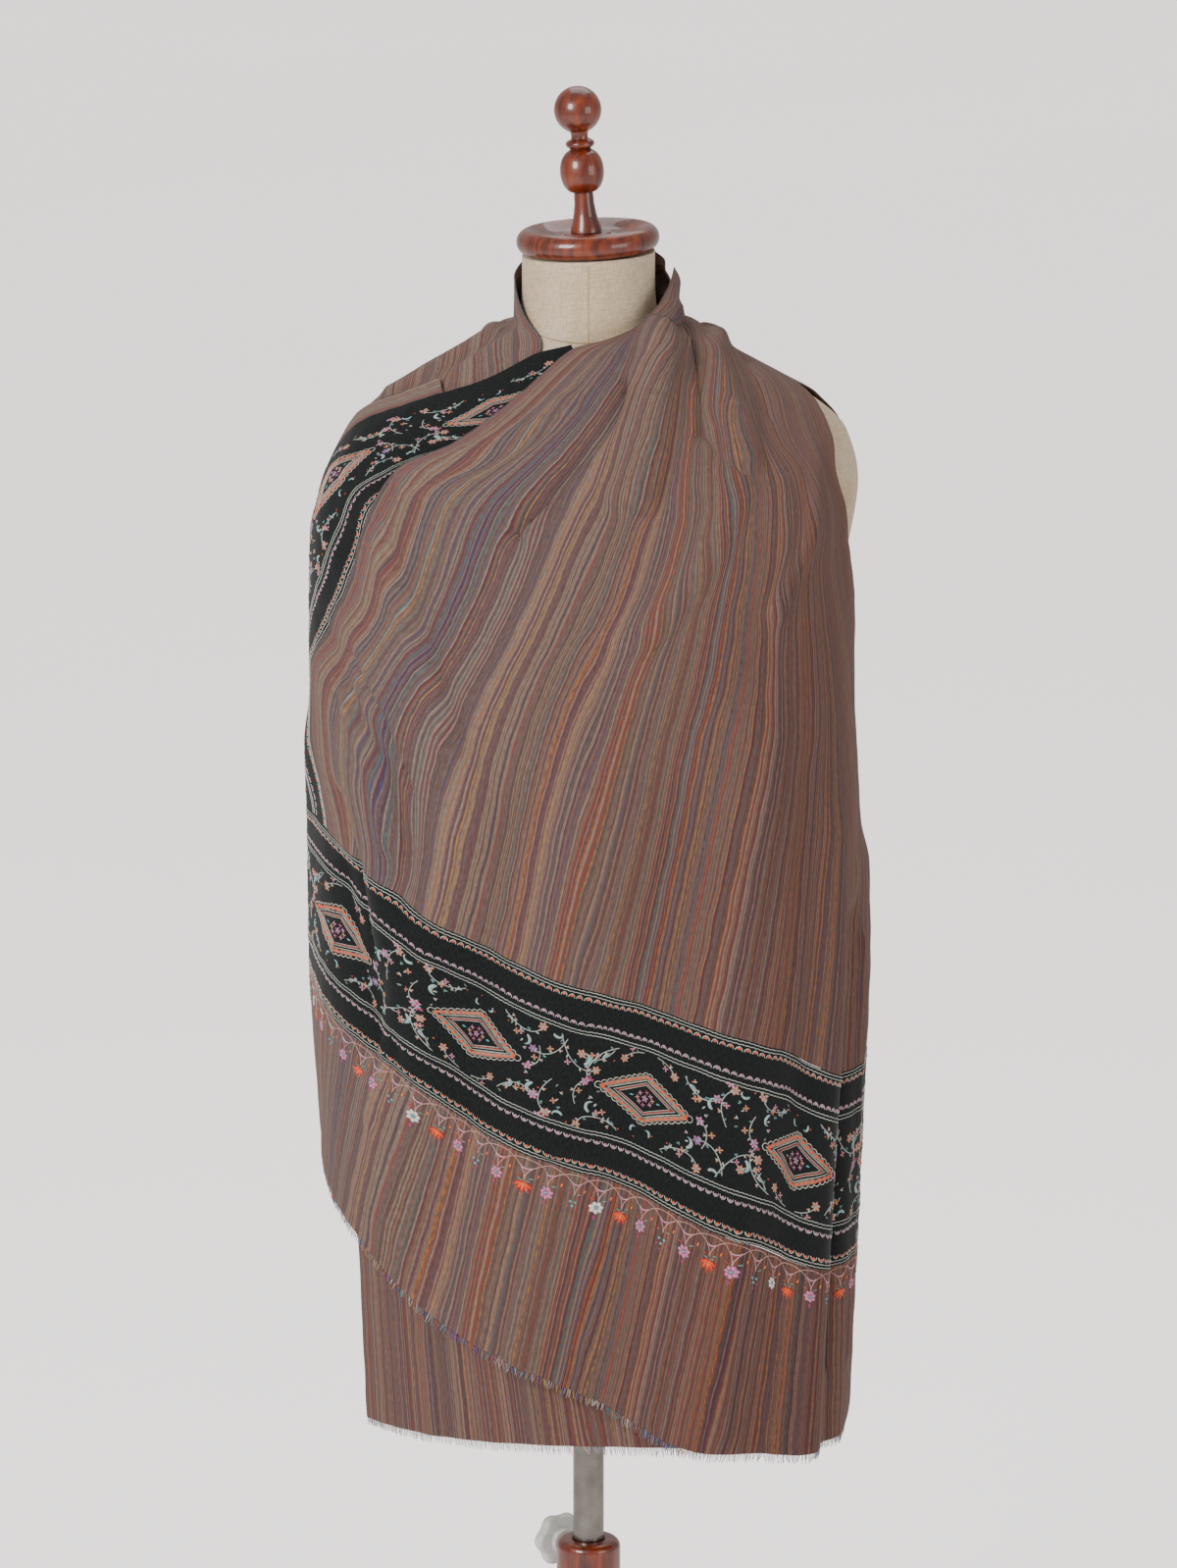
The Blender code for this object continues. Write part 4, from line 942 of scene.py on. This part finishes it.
def inside(strokes, lowX, highX, lowY, highY):
    kept = []
    for stroke in strokes:
        if (stroke[0].min(axis=0) > (lowX, lowY)).all() and (stroke[0].max(axis=0) < (highX, highY)).all():
            kept.append(stroke)
    return kept


def clearOfDiamonds(strokes, centres):
    # a place is in a diamond where |x| / long + |y| / short < 1, here 6% larger
    reach = np.array([diamond["long"], diamond["short"]]) * 1.06
    kept = []
    for stroke in strokes:
        if all((np.abs((stroke[0] - (centre, 0)) / reach).sum(axis=1) >= 1).all() for centre in centres):
            kept.append(stroke)
    return kept


def bandField(band, length):
    centres = np.arange(band["firstDiamond"] - diamond["pitch"] * 4, length + 200, diamond["pitch"])
    strokes = []
    for k, centre in enumerate(centres):
        strokes += clearOfDiamonds(cellMotif(centre, 1 if k % 2 else -1, band["fieldHalf"]),
                                   (centre, centre + diamond["pitch"]))
        strokes += diamondMotif(centre, 0)
    half = band["fieldHalf"]
    strokes = inside(strokes, 2, length - 2, -half, half)
    return shifted(strokes, 0.0, band["fieldShift"])


def alongBand(place, low, high):
    # the length of cloth from the band's start, in metres, at stations of the cut
    at = np.linspace(low, high, 300)
    points = hangSurface(*place(at)[:2])
    steps = np.linalg.norm(np.diff(points, axis=0), axis=1)
    return at, np.concatenate([[0], np.cumsum(steps)])


def bandStrokes(band, length):
    # along each embroidered edge: line, row, black ground, row, line, at shares of the width
    strokes = bandField(band, length)
    for side in band["edges"]:
        outerLine, outerRow, innerRow, innerLine = (
            side * (0.5 - share) * band["width"] for share in (0.018, 0.052, 0.186, 0.230))
        strokes += doubleLine(0, length, outerLine)
        strokes += floretRow(0, length, outerRow, "orange", side, "peach")
        strokes += floretRow(0, length, innerRow, "pink", side, "magenta")
        strokes += doubleLine(0, length, innerLine)
    return strokes


endBand = {"low": 0.020, "high": 0.820, "width": 150.0, "firstDiamond": 33.0, "fieldHalf": 39.5,
           "fieldShift": 0.0, "edges": (1, -1)}
sideBand = {"low": 0.315, "high": 0.850, "width": 130.0, "firstDiamond": 20.0, "fieldHalf": 40.0,
            "fieldShift": -8.0, "edges": (1,)}


def endBandEmbroidery():
    middle = cut["strip"] + endBand["width"] / 2000
    at, run = alongBand(lambda a: bodyPlace(a, np.full(a.shape, middle)), endBand["low"], endBand["high"])

    def place(x, y):
        return bodyPlace(np.interp(x, run, at), middle + y)
    strokes = bandStrokes(endBand, run[-1] * 1000)
    return threadMesh("end_band_embroidery", strokes, place, frontSurface, silk)


def sideBandEmbroidery():
    middle = cut["border"] - sideBand["width"] / 2000
    at, run = alongBand(lambda a: edgePlace(np.full(a.shape, middle), a), sideBand["low"], sideBand["high"])

    # y runs to the inner border
    def place(x, y):
        return edgePlace(middle + y, np.interp(x, run, at))
    strokes = bandStrokes(sideBand, run[-1] * 1000)
    return threadMesh("side_band_embroidery", strokes, place, frontSurface, silk)


hanging = {"step": 19.5, "depth": 19.0}


def lotus(x, y):
    strokes = []
    for heading, length in ((-90, 11), (-62, 10), (-118, 10), (-34, 8.5), (-146, 8.5)):
        strokes.append(leaf(x, y, heading, length, 4.4, "rust", 0.4))
        strokes.append(leaf(x, y - 0.4, heading, length * 0.80, 2.9, "orange", 0.7))
    strokes.append(leaf(x, y - 1, -90, 5.5, 1.6, "yellow", 0.9))
    strokes.append(leaf(x, y, 20, 5, 1.6, "sage"))
    strokes.append(leaf(x, y, 160, 5, 1.6, "sage"))
    return strokes


def hangingFlowers():
    # interlaced arches below the end band, with a flower on the foot of each
    at, run = alongBand(lambda a: bodyPlace(a, np.full(a.shape, cut["strip"])), 0, cut["width"])
    length = run[-1] * 1000
    strokes = []
    t = np.linspace(0, pi, 15)
    foot = -hanging["depth"]
    for k, x in enumerate(np.arange(16.0, length, hanging["step"])):
        arch = np.stack([x - hanging["step"] * np.cos(t), foot - foot * 0.9 * np.sin(t)], -1)
        strokes.append(line(arch, 0.7, "blush", 0.4))
        kind = k % 4
        if kind == 0:
            strokes += lotus(x, foot - 2)
        elif kind == 2:
            for dx, dy in ((-2.2, 0), (2.2, 0), (0, -3.4)):
                strokes.append(dot(x + dx, foot - 5 + dy, 1.2, "teal"))
                strokes.append(dot(x + dx * 1.6, foot - 9 + dy, 0.9, "magenta"))
        else:
            colour = "white" if k % 8 == 7 else "pink"
            strokes += rosette(x, foot - 4.5, 5.0, colour, "teal", 7, "magenta")
            strokes.append(leaf(x, foot - 10, -90, 4.5, 2.0, "magenta"))
        strokes.append(leaf(x + 2, foot + 1, 20, 4.5, 1.6, "sage"))
        strokes.append(leaf(x - 2, foot + 1, 160, 4.5, 1.6, "rust"))
        middle = x + hanging["step"] / 2
        strokes.append(leaf(middle - 1.6, foot + 3, 75, 5.0, 2.4, "rust", 0.45))
        strokes.append(leaf(middle - 1.5, foot + 3.6, 75, 3.8, 1.4, "yellow", 0.65))
        crescent = np.stack([x + 3.4 * np.cos(t), foot + 11.0 - 2.2 * np.sin(t)], -1)
        strokes.append((crescent, 0.5 + 1.5 * np.sin(t), 0.5, palette["magenta"]))
        strokes.append((crescent + (0, 0.3), 0.2 + 0.6 * np.sin(t), 0.7, palette["white"]))

    def place(x, y):
        return bodyPlace(np.interp(x, run, at), cut["strip"] + y - 0.0005)
    strokes = inside(strokes, 3, length - 3, -60, 2)
    return threadMesh("hanging_flower_embroidery", strokes, place, frontSurface, silk)


bandStitches = endBandEmbroidery()
sideStitches = sideBandEmbroidery()
flowerStitches = hangingFlowers()
print("embroidery made")


# ---- fringes of loose warp ends

fringe = {
    "spacing": 1.05, "length": 7.5, "margin": 0.6,      # in mm
    "colours": ("#d8cfc8", "#b9a9a0", "#3f8f93", "#7c4f9a", "#b0683a", "#b9985a",
                "#8c3f6a", "#7f7a76", "#4b5b8c", "#a08c84"),
}


def fringeStrokes(width):
    strokes = []
    for x in np.arange(fringe["margin"], width - fringe["margin"], fringe["spacing"]):
        lean = rng.normal(0, 1.1)
        reach = fringe["length"] * rng.uniform(0.7, 1.08)
        t = np.linspace(0, 1, 4)
        points = np.stack([x + lean * t**1.5 + rng.normal(0, 0.2), 0.6 - (reach + 0.6) * t], -1)
        colour = fringe["colours"][rng.integers(len(fringe["colours"]))]
        strokes.append((points, np.array([0.45, 0.5, 0.42, 0.2]), 0.4, colour))
    return strokes


def makeFringes():
    sink = cloth["thickness"] * 0.6
    front = threadMesh("front_fringe_threads", fringeStrokes(cut["width"] * 1000), bodyPlace, frontSurface,
                       looseYarn, sink)

    def place(x, y):
        return underPlace(x / cut["underWidth"], 1 - y / cut["underLength"])
    under = threadMesh("under_fringe_threads", fringeStrokes(cut["underWidth"] * 1000), place, underSurface,
                       looseYarn, sink)
    return front, under


frontFringe, underFringe = makeFringes()
print("fringes made")


# ---- the dress form and its stand

form = {"bottom": 0.680, "neckTop": 1.4455, "capRadius": 0.056, "capTilt": radians(2.6),
        "finialTilt": radians(4.0), "seamColour": "#a8926f"}


def dressForm():
    sides = 144
    angle = np.arange(sides) * 360 / sides
    drop = np.concatenate([np.linspace(-0.060, 0, 14)[:-1], np.linspace(0, 0.72, 150)])
    columns, rows = np.meshgrid(angle, drop)
    rings = ringPoints(formRings, columns.ravel(), rows.ravel()).reshape(len(drop), sides, 3)
    closing = []
    for turn in np.linspace(0, 80, 12)[1:]:
        low = rings[-1].copy()
        low[:, :2] *= 0.32 + 0.68 * cos(radians(turn))
        low[:, 2] -= (rings[-1][:, 2] - form["bottom"]) * sin(radians(turn)) / sin(radians(80))
        closing.append(low)
    points = np.concatenate([rings.reshape(-1, 3), *closing])
    index = np.arange(len(points)).reshape(-1, sides)
    quads = ringQuads(index)
    ends = [index[0].tolist(), index[-1, ::-1].tolist()]
    return linkMesh("dress_form_linen", points, quads + ends, linen)


def formSeams():
    # the form's panels meet in narrow sewn ridges
    def onForm(x, y):
        return x * 1000, y, np.full(x.shape, -cloth["thickness"])

    def formSurface(angle, drop):
        return ringPoints(formRings, angle, drop)
    strokes = []
    drops = np.linspace(-58, 715, 220)
    for angle in (0, 180):
        strokes.append((np.stack([np.full(220, angle), drops], -1), 0.9, 0.5, form["seamColour"]))
    lower = np.linspace(130, 715, 160)
    for angle in (38, -38, 142, -142):
        strokes.append((np.stack([np.full(160, angle), lower], -1), 0.5, 0.5, form["seamColour"]))
    turn = np.linspace(-180, 179, 160)
    strokes.append((np.stack([turn, 4 + 0 * turn], -1), 1.6, 0.5, form["seamColour"]))
    rows = np.array(formRings)
    armDrop = np.linspace(0.135, 0.262, 60)
    width = curveThrough(rows[:, 0], rows[:, 5], armDrop)
    flat = curveThrough(rows[:, 0], rows[:, 8], armDrop)
    reach = np.degrees(np.arcsin(np.clip(0.172 / width, 0, 1) ** (1 / flat)))
    for sign, base in ((1, 0), (-1, 180)):
        for way in (1, -1):
            path = np.stack([way * (base + sign * reach), armDrop * 1000], -1)
            strokes.append((path, 1.4, 0.5, form["seamColour"]))
    return threadMesh("dress_form_seams", strokes, onForm, formSurface, looseYarn)


def lathe(name, profile, material, matrix=Matrix(), sides=96):
    # a profile of (radius, height), from the top centre down the outside to the bottom centre
    profile = np.asarray(profile, float)
    turn = np.arange(sides) * 2 * pi / sides
    rim = profile[profile[:, 0] > 0]
    points = np.stack([rim[:, :1] * np.cos(turn), rim[:, :1] * np.sin(turn),
                       np.repeat(rim[:, 1:], sides, 1)], -1).reshape(-1, 3)
    index = np.arange(len(points)).reshape(-1, sides)
    after = np.roll(index, -1, axis=1)
    faces = ringQuads(index)
    poles = np.array([(0, 0, profile[0, 1]), (0, 0, profile[-1, 1])])
    top, bottom = len(points), len(points) + 1
    faces += [[top, int(a), int(b)] for a, b in zip(index[0], after[0])]
    faces += [[bottom, int(b), int(a)] for a, b in zip(index[-1], after[-1])]
    turnBy = np.array(matrix.to_3x3())
    points = np.concatenate([points, poles]) @ turnBy.T + np.array(matrix.translation)
    return linkMesh(name, points, faces, material, sharp=35)


def arc(radius, centreRadius, centreHeight, start, end, steps=14):
    turn = np.radians(np.linspace(start, end, steps + 1))
    return list(zip(centreRadius + radius * np.cos(turn), centreHeight + radius * np.sin(turn)))


def neckCap():
    rim = 0.010
    profile = [
        (0, 0.016), (0.0165, 0.016), *arc(0.0012, 0.0173, 0.0148, 90, 0, 4), (0.0185, 0.0132),
        (0.0190, 0.0126), (0.026, 0.0122), (0.031, 0.0127), (0.034, 0.0135),
        (0.038, 0.0153), (0.041, 0.0175),
        *arc(rim, form["capRadius"] - rim, 0.0105, 80, -80, 22), (0.046, 0.0), (0, 0.0),
    ]
    seat = Matrix.Translation((0, 0, form["neckTop"] + cut["seam"]))
    return lathe("neck_cap_wood", profile, mahogany, seat @ Matrix.Rotation(-form["capTilt"], 4, "Y"))


def finial():
    ball = 0.0185
    profile = [
        *[(ball * sin(radians(t)), 0.0955 + ball * cos(radians(t))) for t in range(0, 157, 6)],
        (0.0068, 0.0770), (0.0065, 0.0750), (0.0068, 0.0730), *arc(0.0028, 0.0085, 0.0690, 70, -70, 8),
        (0.0078, 0.0650),
        *[(0.0172 - 0.0098 * (1 - cos(radians(t))), 0.0475 + 0.0165 * sin(radians(t)))
          for t in range(72, -91, -9)],
        (0.0076, 0.0290), (0.0078, 0.0220), (0.0088, 0.0150), (0.0100, 0.0090), (0.0118, 0.0040),
        (0.0124, 0.0), (0, 0.0),
    ]
    seat = Matrix.Rotation(-form["capTilt"], 4, "Y") @ Vector((-0.001, 0, 0.0166))
    seat.z += form["neckTop"] + cut["seam"]
    return lathe("finial_wood", profile, mahogany, Matrix.Translation(seat) @ Matrix.Rotation(
        -form["finialTilt"], 4, "Y"), 72)


stand = {"poleRadius": 0.0125, "columnTop": 0.390, "columnRadius": 0.026, "bore": 0.090,
         "baseRadius": 0.175, "baseHeight": 0.032, "screwHeight": 0.376, "screwTurn": radians(122),
         "knobRadius": 0.0225, "knobOut": 0.0348}


def standPieces():
    top = form["bottom"] - cut["seam"]
    r = stand["poleRadius"]
    columnTop = stand["columnTop"]
    bore = r + cut["seam"]
    collar = 0.007
    wide = stand["columnRadius"]
    base = stand["baseHeight"]
    pole = lathe("pole_steel", [(0, top - 0.010), (r, top - 0.010), (r, columnTop - stand["bore"] + 0.0003),
                                (0, columnTop - stand["bore"] + 0.0003)], steel)
    flange = lathe("pole_flange_steel", [
        (0, top), (0.038, top), *arc(0.002, 0.038, top - 0.002, 90, 0, 4),
        *arc(0.002, 0.038, top - 0.0075, 0, -90, 4), (0, top - 0.0095)], steel)
    column = lathe("stand_column_wood", [
        (0, columnTop - stand["bore"]), (bore, columnTop - stand["bore"]), (bore, columnTop - 0.0015),
        (bore + 0.0015, columnTop), *arc(collar, wide - collar, columnTop - collar, 80, 0),
        (wide, columnTop - 0.028), *arc(0.005, wide - 0.005, columnTop - 0.031, -10, -80, 8),
        (0.0195, columnTop - 0.040), (0.0186, 0.330), (0.0180, 0.300), (0.0178, 0.240), (0.0180, 0.180),
        (0.0190, 0.140), (0.0205, 0.110), (0.0225, 0.090), (0.0250, 0.075),
        *arc(0.006, 0.026, 0.064, 60, -60, 12), (0.0260, 0.054), (0.0290, 0.048), (0.0330, 0.044),
        (0.0380, 0.039), (0.0400, base + 0.0033), (0.0400, base + 0.0003), (0, base + 0.0003)], mahogany)
    disc = lathe("stand_base_wood", [
        (0, base), (0.060, base), (0.066, base - 0.0006), (0.075, base - 0.003), (0.097, base - 0.0053),
        (0.120, base - 0.007), (0.155, base - 0.010),
        *arc(0.011, stand["baseRadius"] - 0.011, 0.011, 80, -60, 16),
        (stand["baseRadius"] - 0.012, 0.0), (0, 0.0)], mahogany, sides=144)
    return pole, flange, column, disc


def knobMesh():
    # six lobes: radius * share * (1 - 0.13 (1 - cos 6 turn) / 2)
    sides = 120
    turn = np.arange(sides) * 2 * pi / sides
    lobes = 1 - 0.13 * (1 - np.cos(6 * turn)) / 2
    rows = np.array([
        (0.0, 0.45, 0.0), (0.004, 0.50, 0.0), (0.0050, 0.82, 0.9), (0.0055, 0.90, 1.0), (0.007, 0.97, 1.0),
        (0.010, 1.00, 1.0), (0.0135, 0.98, 1.0), (0.016, 0.90, 1.0), (0.0175, 0.74, 0.6), (0.018, 0.40, 0.0)])
    radius = stand["knobRadius"] * rows[:, 1:2] * (1 + (lobes - 1) * rows[:, 2:3])
    points = np.stack([radius * np.cos(turn), radius * np.sin(turn), np.repeat(rows[:, :1], sides, 1)], -1)
    outwards = Vector((cos(stand["screwTurn"]), sin(stand["screwTurn"]), 0))
    centre = Vector((0, 0, stand["screwHeight"])) + outwards * stand["knobOut"]
    turnBy = np.array(outwards.to_track_quat("Z", "Y").to_matrix())
    points = points.reshape(-1, 3) @ turnBy.T + np.array(centre)
    index = np.arange(len(points)).reshape(-1, sides)
    after = np.roll(index, -1, axis=1)
    quads = np.stack([index[:-1], after[:-1], after[1:], index[1:]], -1).reshape(-1, 4).tolist()
    return linkMesh("clamp_knob_plastic", points, quads + [index[0, ::-1].tolist(), index[-1].tolist()],
                    plastic, sharp=50)


formPiece = dressForm()
seams = formSeams()
cap = neckCap()
knob = finial()
polePiece, flangePiece, columnPiece, basePiece = standPieces()
clampKnob = knobMesh()
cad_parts["clamp_screw"].material_slots[0].material = steel
print("form and stand made")

# ---- what each piece stands for

table = (
    (pieces["front"], "striped_cloth", ("front_fall", "neck_roll", "shoulder_roll")),
    (pieces["band"], "black_band", ("end_band",)),
    (pieces["strip"], "striped_cloth", ("end_strip",)),
    (pieces["side"], "black_band", ("side_band",)),
    (pieces["margin"], "striped_cloth", ("side_margin",)),
    (pieces["under"], "striped_cloth", ("under_fall", "left_roll")),
    (pieces["cowl"], "striped_cloth", ("back_cowl",)),
    (bandStitches, "black_band", ()),
    (sideStitches, "black_band", ()),
    (flowerStitches, "striped_cloth", ()),
    (frontFringe, "fringe", ("front_fringe",)),
    (underFringe, "fringe", ("under_fringe",)),
    (formPiece, "form_linen", ("dress_form",)),
    (seams, "form_linen", ()),
    (cap, "mahogany", ("neck_cap",)),
    (knob, "mahogany", ("finial",)),
    (polePiece, "steel_pole", ("pole",)),
    (flangePiece, "steel_pole", ("pole_flange",)),
    (columnPiece, "mahogany", ("stand_column",)),
    (basePiece, "mahogany", ("stand_base",)),
    (clampKnob, "knob_plastic", ("clamp_knob",)),
)
for piece, slotName, nodes in table:
    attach(piece, "root")
    if nodes:
        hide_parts(*nodes)


# ---- the studio

studio = {"target": (0, 0, 1.02), "distance": 5.5, "elevation": radians(13), "lens": 159,
          "glow": 0.25,        # light that the sweep gives
          "world": 0.6,        # light that the air gives
          "seen": 2.1,         # how bright the air looks to the camera
          "sweepSeen": 1.2,    # what the sweep's brightness gains where the camera sees it
          "lampAim": (0, 0, 1.05),
          # name: place, size and power
          "lamps": {"key light": ((-2.3, -3.0, 2.9), 1.6, 165), "fill light": ((2.9, -2.3, 1.7), 1.8, 30),
                    "top light": ((0.2, 1.2, 3.6), 2.2, 30)}}


def studioSet():
    material, shader = newMaterial("painted studio sweep", {"Roughness": 0.95})
    mottle = noise(material, objectPlace(material), 0.7, 2.0)
    linkTo(material, ramp(material, mottle, ((0.3, "#e8e4e2"), (0.7, "#eeeae8"))), shader, "Base Color")
    shader.inputs["Emission Color"].default_value = linear("#f0ecea")
    seen = addNode(material, "ShaderNodeLightPath").outputs["Is Camera Ray"]
    extra = math(material, "MULTIPLY", seen, studio["sweepSeen"])
    linkTo(material, math(material, "ADD", extra, studio["glow"]), shader, "Emission Strength")
    corners = [(-60, -60, 0), (60, -60, 0), (60, 60, 0), (-60, 60, 0)]
    floor = linkMesh("studio_floor", corners, [[0, 1, 2, 3]], material)
    camera = bpy.data.objects.new("camera", bpy.data.cameras.new("camera"))
    camera.data.lens = studio["lens"]
    camera.data.sensor_fit = "VERTICAL"
    camera.data.sensor_height = 36
    away = Vector((0, -cos(studio["elevation"]), sin(studio["elevation"]))) * studio["distance"]
    camera.location = Vector(studio["target"]) + away
    camera.rotation_euler = (-away).to_track_quat("-Z", "Y").to_euler()
    bpy.context.scene.collection.objects.link(camera)
    bpy.context.scene.camera = camera
    for name, (spot, size, power) in studio["lamps"].items():
        lamp = bpy.data.lights.new(name, "AREA")
        lamp.size = size
        lamp.energy = power
        thing = bpy.data.objects.new(name, lamp)
        thing.location = spot
        aim = Vector(studio["lampAim"]) - Vector(spot)
        thing.rotation_euler = aim.to_track_quat("-Z", "Y").to_euler()
        bpy.context.scene.collection.objects.link(thing)
    world = bpy.data.worlds.new("studio air")
    world.use_nodes = True
    air = world.node_tree.nodes["Background"]
    air.inputs["Color"].default_value = linear("#e9e5e3")
    tree = world.node_tree
    path = tree.nodes.new("ShaderNodeLightPath")
    level = tree.nodes.new("ShaderNodeMapRange")
    level.inputs["To Min"].default_value = studio["world"]
    level.inputs["To Max"].default_value = studio["seen"]
    tree.links.new(path.outputs["Is Camera Ray"], level.inputs["Value"])
    tree.links.new(level.outputs["Result"], air.inputs["Strength"])
    bpy.context.scene.world = world


studioSet()
print("studio made")
